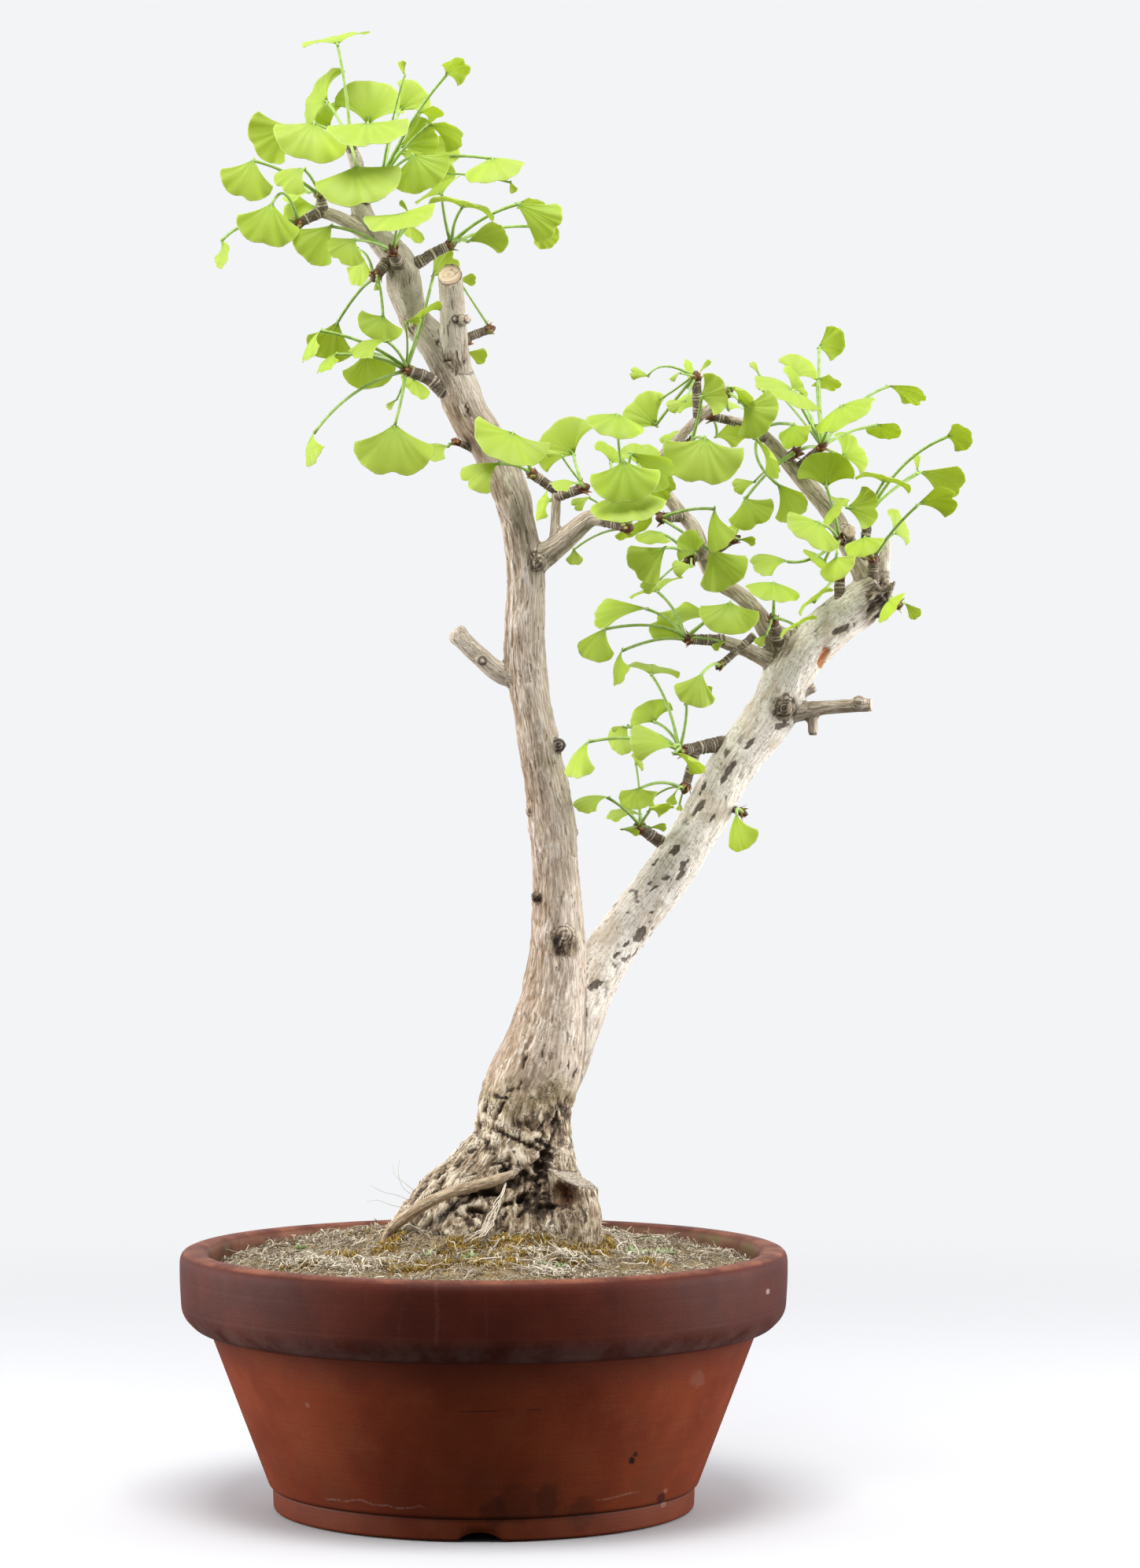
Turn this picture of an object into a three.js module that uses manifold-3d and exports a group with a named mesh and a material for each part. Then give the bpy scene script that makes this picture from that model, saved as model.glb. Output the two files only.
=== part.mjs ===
// A ginkgo bonsai: a two-trunked tree in a round terracotta training pot, built as a
// standalone three.js scene graph. Millimetres, +Z up. Every place below is measured from
// the pot's centre line and the surface that the pot stands on, with +X to the right and
// +Y away from the front; the whole group is then moved so that the origin lies under the
// middle of the tree and pot together.
//
// Separate pieces, each its own mesh: the pot, the drain mesh on its floor, the soil, the
// tree (trunks, branches, spurs and roots, which grew as one) and one spray of leaves for
// each spur that carries leaves. Touching pieces keep a gap of GAP.

import * as THREE from 'three';
import { mergeVertices } from 'three/addons/utils/BufferGeometryUtils.js';
import Module from 'manifold-3d';

// ------------------------------------------------------------------ driving dimensions

const GAP = 0.35;

// The pot: a straight-sided pan under a heavy rolled band.
const POT_HEIGHT = 153;
const RIM_RADIUS = 180;
const RIM_INNER_RADIUS = 163;
const RIM_ROUND = 7;
const BAND_FOOT = 118;
const BODY_TOP = 105.5;
const BODY_TOP_RADIUS = 162;
const BODY_FOOT_RADIUS = 126.4;
const FOOT_RADIUS = 124.6;
const FOOT_HEIGHT = 12.5;
const FOOT_RING_WIDTH = 12;
const UNDERSIDE_RECESS = 7;
const FLOOR_TOP = 19;
const WALL = 12;
const DRAIN_RADIUS = 16;
const NOTCH_COUNT = 3;
const NOTCH_WIDTH = 27;
const NOTCH_HEIGHT = 5.5;
const POT_SEGMENTS = 28;

// The drain mesh: a square of plastic grille over the drain hole.
const MESH_SIDE = 54;
const MESH_THICK = 1.4;
const MESH_BARS = 3;
const MESH_BAR = 2.6;

// The soil, heaped up towards the tree.
const SOIL_EDGE = 144;
const SOIL_HEAP = 162;
const SOIL_BUMP = 1.1;

// Leaves: a fan blade on a long stalk.
const BLADE_THICK = 0.8;
const ADULT_WIDTH = 14;
const LOBED_WIDTH = 20;
const BROAD_WIDTH = 42;
const TRUE_WIDTH = 30;
const STALK_RADIUS = 0.85;
const STALK_SLACK = 1.08;
const STALK_ADULT = 34;
const STALK_YOUNG = 20;
const STALK_STEPS = 2;
const STALK_RISE = 0.07;
const STALK_ROOT_OUT = 0.9;
const LENGTH_BY_WIDTH = 0.5;

// The bud that a spray grows from, seated on the end of its spur.
const BUD_SIDES = 5;
const BUD_LENGTH = 6.5;
const BUD_WIDEST = 1.1;

// ------------------------------------------------------------------------- materials

const finish = (name, color, roughness) =>
  new THREE.MeshStandardMaterial({ name, color, roughness, metalness: 0 });

const TERRACOTTA = finish('terracotta', 0x8a4228, 0.78);
const MESH_PLASTIC = finish('drain_mesh_plastic', 0x23262a, 0.6);
const SOIL = finish('soil', 0x8d7b60, 0.95);
const BARK = finish('bark', 0xc4b29f, 0.88);
const LEAF = finish('leaf', 0x9cc63f, 0.55);

// ------------------------------------------------------------------- general geometry

const wasm = await Module();
wasm.setup();
const { Manifold, Mesh } = wasm;

const v3 = (x, y, z) => new THREE.Vector3(x, y, z);
const UP = v3(0, 0, 1);

// Places on the tree are given as they line up, seen from EYE, with the plane through the
// pot's centre line, and `lined` puts them at their own depth on that line of sight.
const EYE = v3(51, -2550, 428);

function lined(x, depth, z) {
  const share = (depth - EYE.y) / -EYE.y;
  return v3(EYE.x + (x - EYE.x) * share, depth, EYE.z + (z - EYE.z) * share);
}

// A repeatable draw between 0 and 1 for thing number `index` and purpose `salt`.
function draw(index, salt) {
  const wild = Math.sin(index * 12.9898 + salt * 78.233) * 43758.5453;
  return wild - Math.floor(wild);
}

function meshData(geometry) {
  geometry.deleteAttribute('normal');
  geometry.deleteAttribute('uv');
  return mergeVertices(geometry);
}

// A closed geometry as a solid that can be joined and cut.
function solidOf(geometry) {
  const welded = meshData(geometry);
  const vertProperties = new Float32Array(welded.attributes.position.array);
  const triVerts = new Uint32Array(welded.index.array);
  return new Manifold(new Mesh({ numProp: 3, vertProperties, triVerts }));
}

function geometryOf(solid) {
  const mesh = solid.getMesh();
  const geometry = new THREE.BufferGeometry();
  geometry.setAttribute('position', new THREE.BufferAttribute(mesh.vertProperties, 3));
  geometry.setIndex(new THREE.BufferAttribute(mesh.triVerts, 1));
  geometry.computeVertexNormals();
  return geometry;
}

const joined = (solids) => solids.reduce((whole, next) => whole.add(next));

// Solids that grow together, as one body: a space of no account that they seal is filled.
function fused(solids) {
  const bodies = joined(solids).decompose();
  return bodies.reduce((largest, next) => (next.volume() > largest.volume() ? next : largest));
}

function indexed(points, faces) {
  const geometry = new THREE.BufferGeometry();
  const flat = points.flatMap((p) => [p.x, p.y, p.z]);
  geometry.setAttribute('position', new THREE.Float32BufferAttribute(flat, 3));
  geometry.setIndex(faces.flat());
  return geometry;
}

const middle = (points) =>
  points.reduce((sum, p) => sum.add(p), v3(0, 0, 0)).divideScalar(points.length);

// A skin over rings of equally many points, closed by a flat fan at each end. Each ring runs
// anticlockwise seen from the ring after it.
function skin(rings) {
  const sides = rings[0].length;
  const points = rings.flat();
  const first = points.length;
  points.push(middle(rings[0]), middle(rings[rings.length - 1]));
  const faces = [];
  const at = (ring, side) => ring * sides + (side % sides);
  for (let side = 0; side < sides; side += 1) {
    faces.push([first, at(0, side + 1), at(0, side)]);
    faces.push([first + 1, at(rings.length - 1, side), at(rings.length - 1, side + 1)]);
    for (let ring = 0; ring < rings.length - 1; ring += 1) {
      faces.push([at(ring, side), at(ring, side + 1), at(ring + 1, side + 1)]);
      faces.push([at(ring, side), at(ring + 1, side + 1), at(ring + 1, side)]);
    }
  }
  return indexed(points, faces);
}

// A limb along lined-up stations [x, depth, z, radius]: one ring of `sides` corners square to
// the line at each station, the rings carried along without twisting. `grow` adds to every
// radius, and `rough` makes the corners stand in and out by that share of it.
function limb(stations, sides, { grow = 0, rough = 0 } = {}) {
  const centres = stations.map(([x, depth, z]) => lined(x, depth, z));
  let side = v3(0.3, 1, 0.1);
  const rings = centres.map((centre, ring) => {
    const before = centres[Math.max(ring - 1, 0)];
    const after = centres[Math.min(ring + 1, centres.length - 1)];
    const along = after.clone().sub(before).normalize();
    side = side.clone().addScaledVector(along, -side.dot(along)).normalize();
    const other = along.clone().cross(side);
    return Array.from({ length: sides }, (_, corner) => {
      const angle = (2 * Math.PI * corner) / sides;
      const uneven = 1 + rough * (draw(ring * 31 + corner, sides) - 0.5);
      const radius = stations[ring][3] * uneven + grow;
      return centre.clone()
        .addScaledVector(side, radius * Math.cos(angle))
        .addScaledVector(other, radius * Math.sin(angle));
    });
  });
  return solidOf(skin(rings));
}

// A block that takes away everything beyond the plane through `point` facing `facing`.
function sawCut(point, facing, size) {
  const block = new THREE.BoxGeometry(size, size, size);
  block.translate(0, 0, size / 2);
  const turn = new THREE.Quaternion().setFromUnitVectors(UP, facing.clone().normalize());
  block.applyQuaternion(turn);
  block.translate(point.x, point.y, point.z);
  return solidOf(block);
}

function ball(centre, radii, turns) {
  const sphere = new THREE.SphereGeometry(1, turns, Math.round(turns * 0.6));
  sphere.scale(radii.x, radii.y, radii.z);
  sphere.translate(centre.x, centre.y, centre.z);
  return solidOf(sphere);
}

// --------------------------------------------------------------------------- the pot

// Points of the arc round (centre r, centre z) from one angle to another, in degrees.
function arc(centreRadius, centreHeight, radius, from, to, steps) {
  return Array.from({ length: steps + 1 }, (_, step) => {
    const angle = THREE.MathUtils.degToRad(from + ((to - from) * step) / steps);
    const r = centreRadius + radius * Math.cos(angle);
    return new THREE.Vector2(r, centreHeight + radius * Math.sin(angle));
  });
}

const wallAt = (z) =>
  BODY_FOOT_RADIUS +
  ((BODY_TOP_RADIUS - BODY_FOOT_RADIUS) * (z - FOOT_HEIGHT)) / (BODY_TOP - FOOT_HEIGHT);

// The cavity's wall from the floor up to the rim, as [radius, height].
const CAVITY = [
  [wallAt(FLOOR_TOP) - WALL - 4, FLOOR_TOP],
  [wallAt(FLOOR_TOP) - WALL, FLOOR_TOP + 4.5],
  [wallAt(BODY_TOP - 4) - WALL, BODY_TOP - 4],
  [RIM_INNER_RADIUS - 4, BAND_FOOT - 4],
  [RIM_INNER_RADIUS, BAND_FOOT + 6],
];

function potProfile() {
  const p = (r, z) => new THREE.Vector2(r, z);
  const footInner = FOOT_RADIUS - FOOT_RING_WIDTH;
  const outside = [
    p(footInner + 1.5, 0),
    p(FOOT_RADIUS - 2, 0),
    p(FOOT_RADIUS, 2.2),
    p(BODY_FOOT_RADIUS - 1.4, FOOT_HEIGHT),
    p(BODY_FOOT_RADIUS, FOOT_HEIGHT + 1),
    p(BODY_TOP_RADIUS, BODY_TOP),
    p(BODY_TOP_RADIUS + 7, BODY_TOP + 1.6),
    p(RIM_RADIUS - 3, BAND_FOOT - 5),
    p(RIM_RADIUS, BAND_FOOT + 1),
  ];
  const rim = [
    ...arc(RIM_RADIUS - RIM_ROUND, POT_HEIGHT - RIM_ROUND, RIM_ROUND, 0, 90, 2),
    ...arc(RIM_INNER_RADIUS + RIM_ROUND, POT_HEIGHT - RIM_ROUND, RIM_ROUND, 90, 180, 2),
  ];
  const inside = CAVITY.slice().reverse().map(([r, z]) => p(r, z));
  const under = [
    p(DRAIN_RADIUS, FLOOR_TOP),
    p(DRAIN_RADIUS, UNDERSIDE_RECESS),
    p(footInner - 1, UNDERSIDE_RECESS),
  ];
  return [...outside, ...rim, ...inside, ...under, outside[0].clone()];
}

// A lens-shaped notch through the foot ring, so that water can run out from under the pot.
function footNotch(turn) {
  const drop = new THREE.Shape();
  drop.moveTo(-NOTCH_WIDTH / 2, -1);
  drop.lineTo(-NOTCH_WIDTH / 2, 0);
  drop.quadraticCurveTo(-NOTCH_WIDTH / 3, NOTCH_HEIGHT, 0, NOTCH_HEIGHT);
  drop.quadraticCurveTo(NOTCH_WIDTH / 3, NOTCH_HEIGHT, NOTCH_WIDTH / 2, 0);
  drop.lineTo(NOTCH_WIDTH / 2, -1);
  drop.closePath();
  const tunnel = new THREE.ExtrudeGeometry(drop, {
    depth: FOOT_RING_WIDTH * 3,
    bevelEnabled: false,
    curveSegments: 3,
  });
  tunnel.rotateX(Math.PI / 2);
  tunnel.translate(0, -(FOOT_RADIUS - FOOT_RING_WIDTH * 2), 0);
  tunnel.rotateZ(turn);
  return solidOf(tunnel);
}

function pot() {
  const turned = new THREE.LatheGeometry(potProfile(), POT_SEGMENTS);
  turned.rotateX(Math.PI / 2);
  let body = solidOf(turned);
  for (let notch = 0; notch < NOTCH_COUNT; notch += 1) {
    body = body.subtract(footNotch((2 * Math.PI * notch) / NOTCH_COUNT));
  }
  return body;
}

function drainMesh() {
  const bars = [];
  const step = (MESH_SIDE - MESH_BAR) / (MESH_BARS - 1);
  for (let bar = 0; bar < MESH_BARS; bar += 1) {
    const offset = -MESH_SIDE / 2 + MESH_BAR / 2 + bar * step;
    const lengthwise = new THREE.BoxGeometry(MESH_SIDE, MESH_BAR, MESH_THICK);
    lengthwise.translate(0, offset, 0);
    const crosswise = new THREE.BoxGeometry(MESH_BAR, MESH_SIDE, MESH_THICK);
    crosswise.translate(offset, 0, 0);
    bars.push(solidOf(lengthwise), solidOf(crosswise));
  }
  return joined(bars).translate([0, 0, FLOOR_TOP + GAP + MESH_THICK / 2]);
}

// ----------------------------------------------------------------- roots and the soil

// The flare at the tree's foot, as rings [z, left x, right x, front y, back y].
const FLARE = [
  [112, -34, 50, -30, 32],
  [140, -50, 63, -42, 42],
  [160, -56, 69, -46, 44],
  [168, -55, 69, -45, 43],
  [176, -50, 66, -41, 39],
  [186, -43, 62, -36, 35],
  [196, -34, 59, -31, 31],
  [206, -20, 56, -28, 28],
  [228, 0, 50, -25, 25],
];
const FLARE_SIDES = 15;
const FLARE_LOBES = 0.05;

function flare(grow) {
  const rings = FLARE.map(([z, left, right, front, back]) => {
    const centreX = (left + right) / 2;
    const centreY = (front + back) / 2;
    return Array.from({ length: FLARE_SIDES }, (_, corner) => {
      const angle = (2 * Math.PI * corner) / FLARE_SIDES;
      const lobe = 1 - FLARE_LOBES * (1 + Math.cos(5 * angle + 0.6)) * 0.5;
      const x = centreX + ((right - left) / 2 * lobe + grow) * Math.cos(angle);
      const y = centreY + ((back - front) / 2 * lobe + grow) * Math.sin(angle);
      return v3(x, y, z);
    });
  });
  return solidOf(skin(rings));
}

// A root that lies over the front of the flare and goes into the soil at the left.
const SURFACE_ROOT = [
  [24, -26, 197, 3], [10, -31, 195, 3.8], [-6, -35.5, 191, 4.1], [-21, -38, 186.5, 4.2],
  [-36, -36, 178.5, 4.2], [-48, -31, 169.5, 4], [-56, -26, 160, 3.6], [-59, -22, 150, 3],
];

// A thick root, sawn off flat, that stands at the right of the front.
const SAWN_ROOT = [
  [40, -8, 216, 12], [49, -18, 202, 14.5], [54, -24, 184, 15], [56, -27, 164, 15],
  [56, -26, 145, 13],
];
const SAWN_ROOT_TOP = { point: lined(53, -24, 195.5), facing: v3(0.36, -0.42, 0.83) };
const ROOT_HOLLOW = { centre: lined(47.5, -38.5, 182.5), radii: v3(8.5, 6, 7) };

function roots(grow) {
  const sawn = limb(SAWN_ROOT, 12, { grow }).subtract(
    sawCut(SAWN_ROOT_TOP.point, SAWN_ROOT_TOP.facing, 70),
  );
  return joined([flare(grow), limb(SURFACE_ROOT, 6, { grow }), sawn]);
}

const soilHeight = (r, angle) => {
  const heap = SOIL_EDGE + (SOIL_HEAP - SOIL_EDGE) * Math.pow(1 - r / RIM_INNER_RADIUS, 0.8);
  const bumps = Math.sin(3 * angle + r * 0.06) + Math.sin(7 * angle - r * 0.11);
  return Math.min(heap + SOIL_BUMP * bumps * (r > 40 ? 1 : 0), SOIL_HEAP);
};

function soil() {
  const ringAt = (r, heightAt) => Array.from({ length: POT_SEGMENTS }, (_, corner) => {
    const angle = (2 * Math.PI * corner) / POT_SEGMENTS;
    return v3(r * Math.cos(angle), r * Math.sin(angle), heightAt(r, angle));
  });
  const wall = CAVITY.map(([r, z]) => ringAt(r - GAP, () => z + GAP));
  const top = [RIM_INNER_RADIUS - GAP, 132, 96].map((r) => ringAt(r, soilHeight));
  let body = solidOf(skin([...wall, ...top]));
  const pocket = new THREE.BoxGeometry(MESH_SIDE + 2, MESH_SIDE + 2, 2 * (MESH_THICK + 1));
  pocket.translate(0, 0, FLOOR_TOP);
  body = body.subtract(solidOf(pocket));
  return body.subtract(roots(GAP + 0.1));
}

// --------------------------------------------------------------------------- the tree

const LEFT_TRUNK = [
  [23, 0, 205, 30], [25, 0, 240, 27.5], [33, 0, 263, 26],
  [38.5, 0, 286, 22], [42, 0, 310, 18], [43.6, 0, 333, 16.4],
  [42.3, 0, 380, 13.8], [40.8, 0, 400, 13.7], [34.5, -2, 440, 12.5],
  [27.5, -4, 480, 11.7], [24.6, -4, 500, 12.2], [24.3, -4, 520, 11.8], [25, -3, 550, 11],
  [21, -2, 580, 10.3], [15.5, -1, 600, 11], [2.5, 0, 630, 11.5],
  [-10.5, 0, 650, 12], [-18, 0, 670, 11.5], [-28, 1, 688, 10.5], [-40, 2, 703, 9],
  [-46.5, 2, 720, 10], [-50, 2, 737, 9.5], [-60, 1, 750, 8], [-72, 0, 765, 6.5],
  [-75, 0, 780, 5], [-76, 0, 797, 4], [-79, -1, 806, 3.5],
];

const RIGHT_TRUNK = [
  [40, 3, 240, 16], [45, 6, 262, 16], [55, 12, 290, 16], [66, 17, 315, 15.5],
  [84, 20, 342, 14.5], [106, 22, 370, 14.5], [124, 24, 397, 13.8], [151, 26, 444, 14],
  [169, 27, 468, 15], [186, 27, 501, 14.5], [205, 27, 521, 14], [222, 27, 534, 13.5],
  [240, 26, 545, 12],
];

// Branches and stubs: stations [x, y, z, radius], the number of sides, and for a sawn end
// the plane it was cut on.
const BRANCHES = [
  // front stub of the left trunk, sawn off facing up and forward
  { line: [[-14, -1, 662, 9], [-17, -5, 682, 8.4], [-19, -11, 712, 7.6], [-21, -14, 742, 7.3]],
    sides: 10, sawn: { point: lined(-21, -14, 730.5), facing: v3(-0.1, -0.72, 0.69) } },
  { line: [[-17, -10, 702, 2.8], [-9, -20, 704.5, 2.8]], sides: 6 },
  // left stub
  { line: [[24, -3, 490, 6], [12, -4, 492.5, 5.4], [-2, -5, 503, 4.9], [-17, -6, 518, 4.9]],
    sides: 8 },
  // upper left branch
  { line: [[-58, 0, 746, 4.8], [-75, -4, 758, 4.4], [-88, -8, 765, 3.9], [-98, -10, 768, 3.6]],
    sides: 7 },
  // right branch of the left trunk and the twig that rises from it
  { line: [[22, -1, 552, 8.5], [32, -3, 561, 8], [45, -8, 570, 6.5], [57, -14, 581, 6],
    [64, -19, 586, 5], [73, -25, 584, 3.8]], sides: 7 },
  { line: [[40, -6, 561, 3.4], [42, -8, 580, 3.1], [43, -9, 608, 2.7]], sides: 6 },
  // cut stub on the right trunk, with a nub below it and one above
  { line: [[170, 26, 470, 7.5], [181, 25, 470, 6.5], [200, 22, 473, 4.6], [230, 16, 475, 4.2]],
    sides: 7 },
  { line: [[195, 23, 474, 3.4], [195, 22, 457, 3]], sides: 6 },
  { line: [[184, 25, 470, 3], [186, 24, 479, 2.8], [197, 22, 485, 2.5]], sides: 6 },
  // lower branch of the right trunk
  { line: [[178, 27, 497, 6.2], [168, 25, 502, 5.5], [155, 22, 508, 4.5], [140, 18, 513, 4]],
    sides: 7 },
  // middle branch, from its rough collar up and over to the right
  { line: [[184, 28, 505, 10], [175, 27, 513, 9], [168, 26, 520, 6.8], [163, 26, 528, 5.5],
    [152, 26, 540, 5], [138, 25, 549, 4.8], [131, 23, 562, 5.2], [124, 24, 580, 4.6],
    [114, 24, 592, 4.2], [105, 22, 606, 3.8], [104, 20, 618, 3.6], [112, 18, 629, 3.4],
    [127, 16, 645, 3], [143, 16, 659, 2.6]], sides: 6 },
  { line: [[131, 26, 565, 5.6], [128, 4, 568, 5.3]], sides: 7 },
  // back branch, from the broken end up and over to the left
  { line: [[230, 27, 538, 8.5], [226, 28, 550, 7], [218, 34, 566, 6], [208, 36, 586, 5.8],
    [196, 36, 601, 5.5], [185, 35, 613, 5], [176, 34, 624, 4.5], [166, 32, 635, 3.6],
    [157, 30, 641, 3], [136, 26, 646, 2.6]], sides: 6 },
  { line: [[214, 34, 577, 4.6], [217, 22, 578, 4.4]], sides: 6 },
  // deadwood point and splinter at the broken end of the right trunk
  { line: [[234, 29, 536, 6], [236, 30, 550, 4.6], [239, 32, 574, 2.6]], sides: 6 },
  { line: [[236, 22, 536, 5], [244, 18, 549, 1.4]], sides: 5 },
];

// Healed knots that stand out of the trunks: centre and radii.
const KNOTS = [
  { centre: lined(45, -5, 451), radii: v3(4.6, 4.6, 4.6) },
  { centre: lined(47, -12, 338), radii: v3(7.5, 6, 6) },
  { centre: lined(47, -13, 329), radii: v3(5, 4.5, 3.5) },
  { centre: lined(31, -10, 560), radii: v3(6, 5, 6) },
  { centre: lined(178, 15, 473), radii: v3(7, 6, 7) },
];

// The end of the right trunk, broken off along two rough planes.
const BREAKS = [
  { point: lined(237, 26, 540), facing: v3(0.8, -0.2, 0.55) },
  { point: lined(228, 26, 549), facing: v3(0.1, 0.3, 0.95) },
];

function tree() {
  const trunks = [limb(LEFT_TRUNK, 10, { rough: 0.1 })];
  let broken = limb(RIGHT_TRUNK, 10, { rough: 0.12 });
  BREAKS.forEach(({ point, facing }) => {
    broken = broken.subtract(sawCut(point, facing, 60));
  });
  trunks.push(broken);
  const branches = BRANCHES.map(({ line, sides, sawn }) => {
    const whole = limb(line, sides);
    return sawn ? whole.subtract(sawCut(sawn.point, sawn.facing, 40)) : whole;
  });
  const spurs = SPRAYS.filter(({ spur }) => spur.length > 1).map(({ spur }) => limb(spur, 5));
  const knots = KNOTS.map(({ centre, radii }) => ball(centre, radii, 6));
  const whole = joined([...trunks, roots(0), ...branches, ...spurs, ...knots]);
  return whole.subtract(ball(ROOT_HOLLOW.centre, ROOT_HOLLOW.radii, 8));
}

// ------------------------------------------------------------------------- the leaves

const NEAR = -1;
const FAR = 1;

// One entry for each spur that carries leaves. `spur` is its line of [x, y, z, radius] out
// to the tip; where it has one point the tip is the end of a branch, and `behind` is the
// point before it. A leaf is [blade foot x, z, middle of its outer edge x, z, width as seen
// from the front, NEAR or FAR side of the tip, more], where `more` may give
//   via    [x, z] a point that the stalk passes at half its length, or [x, z, depth]
//   cup    how far the blade's sides rise over its middle (negative: hang)
//   deep   the blade foot's distance from the tip in depth, where the rule gives another
//   wide   the blade's true width, where it is turned away from the front
//   roll   which way a turned blade is turned, 1 or -1
//   dip    the depth that the blade's outer edge has beyond its foot
const SPRAYS = [
  { name: 'spray_apex', spur: [[-79, -1, 806, 3.5]], behind: [-76, 0, 797],
    leaves: [
      [-87, 867, -88, 872, 49, FAR, { via: [-82, 838], deep: 3 }],
      [-93, 833, -104, 838, 50, FAR, { cup: -7 }],
      [-92, 818, -100, 828, 36, FAR],
      [-69, 820, -66, 846, 50, FAR],
      [-69, 820, -68, 806, 57, NEAR, { cup: 5 }],
      [-101, 820, -107, 797, 52, NEAR, { cup: -3 }],
      [-115, 818, -138, 806, 40, FAR],
      [-76, 794, -72, 771, 60, NEAR, { cup: 3 }],
    ] },
  { name: 'spray_crown', spur: [[-74, -1, 770, 3.6], [-62, -8, 784, 3]],
    leaves: [
      [-47, 849, -50, 858, 6, NEAR],
      [-50, 828, -36, 842, 30, FAR],
      [-38, 826, -24, 828, 10, NEAR, { wide: 30, deep: -4 }],
      [-33, 819, -12, 810, 18, NEAR],
      [-50, 806, -28, 816, 30, NEAR, { deep: -6 }],
      [-50, 803, -15, 795, 40, FAR],
      [-42, 801, -33, 780, 44, NEAR],
      [5, 799, 8, 785, 42, NEAR, { via: [-30, 799] }],
      [16, 785, 18, 778, 6, NEAR],
      [-22, 849, -9, 857, 18, NEAR],
    ] },
  { name: 'spray_left_upper', spur: [[-95, -9.5, 767, 3.4], [-97, -12, 776, 2.7]],
    leaves: [
      [-137, 798, -145, 775, 38, NEAR, { cup: 3 }],
      [-107, 793, -122, 781, 22, NEAR],
      [-104, 779, -120, 777, 12, FAR],
      [-100, 770, -120, 766, 20, FAR],
    ] },
  { name: 'spray_left_tip', spur: [[-96, -10, 768, 3.6], [-108, -12, 762, 3]],
    leaves: [
      [-126, 772, -131, 747, 44, NEAR, { via: [-118, 778] }],
      [-156, 750, -154, 734, 10, NEAR, { via: [-138, 761] }],
    ] },
  { name: 'spray_fork', spur: [[-50, -3, 734, 4], [-54, -15, 743, 3.2]],
    leaves: [
      [-91, 759, -108, 740, 34, NEAR],
      [-77, 751, -88, 738, 28, NEAR],
      [-50, 766, -48, 757, 50, NEAR, { cup: 4 }],
      [-45, 760, -43, 750, 18, FAR],
      [-45, 767, -50, 775, 4, NEAR],
    ] },
  { name: 'spray_low_left', spur: [[-53, 0, 744, 4.4], [-63, -6, 731, 3.4]],
    leaves: [
      [-75, 745, -76, 723, 16, FAR],
      [-87, 702, -95, 679, 34, FAR],
      [-60, 705, -66, 691, 32, NEAR],
      [-64, 725, -64, 720, 4, NEAR],
    ] },
  { name: 'spray_right_upper', spur: [[-47, 1, 734, 4], [-38, 0, 738, 3.8], [-30, 1, 743, 3.3],
    [-22, 2, 747, 3]],
    leaves: [
      [-25, 778, -28, 783, 38, FAR, { deep: -12 }],
      [-13, 770, -12, 774, 47, NEAR],
      [20, 772, 44, 757, 30, NEAR],
      [22, 773, 36, 770, 9, FAR],
      [27, 759, 43, 748, 20, FAR],
      [-9, 750, 14, 755, 22, NEAR],
    ] },
  { name: 'spray_mid', spur: [[-17, -3, 660, 5], [-24, -5, 661, 4.4], [-32, -8, 668, 4],
    [-44, -12, 673, 3.6]],
    leaves: [
      [-97, 697, -107, 678, 6, NEAR],
      [-88, 683, -99, 671, 6, NEAR],
      [-58, 691, -80, 683, 12, NEAR],
      [-70, 684, -66, 662, 38, FAR],
      [-42, 668, -40, 657, 18, FAR],
      [-53, 641, -54, 610, 56, NEAR, { cup: -2 }],
      [-52, 656, -58, 650, 5, FAR],
      [-101, 636, -103, 616, 11, NEAR, { via: [-77, 660] }],
      [-47, 702, -37, 704, 6, NEAR, { deep: -27 }],
      [-30, 730, -16, 742, 26, FAR, { via: [-38, 700, -4], deep: 21 }],
      [-36, 705, -32, 713, 14, NEAR, { deep: -10 }],
    ] },
  { name: 'leaf_stub', spur: [[-24, -2, 688, 3], [1, 4, 697, 2.6]],
    leaves: [
      [-15, 727, -4, 727, 9, FAR],
    ] },
  { name: 'leaf_trunk_left', spur: [[-5, -1, 626, 2.4], [-14, -5, 630, 1.9]],
    leaves: [
      [-22, 628, -38, 623, 13, NEAR, { deep: 0 }],
    ] },
  { name: 'leaf_behind', spur: [[-24, 5, 687, 3], [-12, 17, 690, 2.6]],
    leaves: [
      [-10, 684, 2, 680, 12, FAR],
    ] },
  { name: 'spray_twig_left', spur: [[43, -9, 602, 3], [30, -14, 611, 3]],
    leaves: [
      [17, 636, 10, 619, 54, NEAR, { cup: 6 }],
      [8, 618, -12, 606, 24, NEAR],
    ] },
  { name: 'spray_twig_right', spur: [[42.5, -9, 598, 3], [57, -14, 603, 3]],
    leaves: [
      [53, 624, 38, 640, 46, FAR],
      [46, 623, 36, 625, 5, NEAR],
      [55, 606, 39, 605, 8, NEAR, { wide: 24 }],
      [39, 596, 30, 588, 14, FAR],
    ] },
  { name: 'spray_front', spur: [[70, -23, 585, 4], [83, -30, 581, 3.4]],
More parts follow.
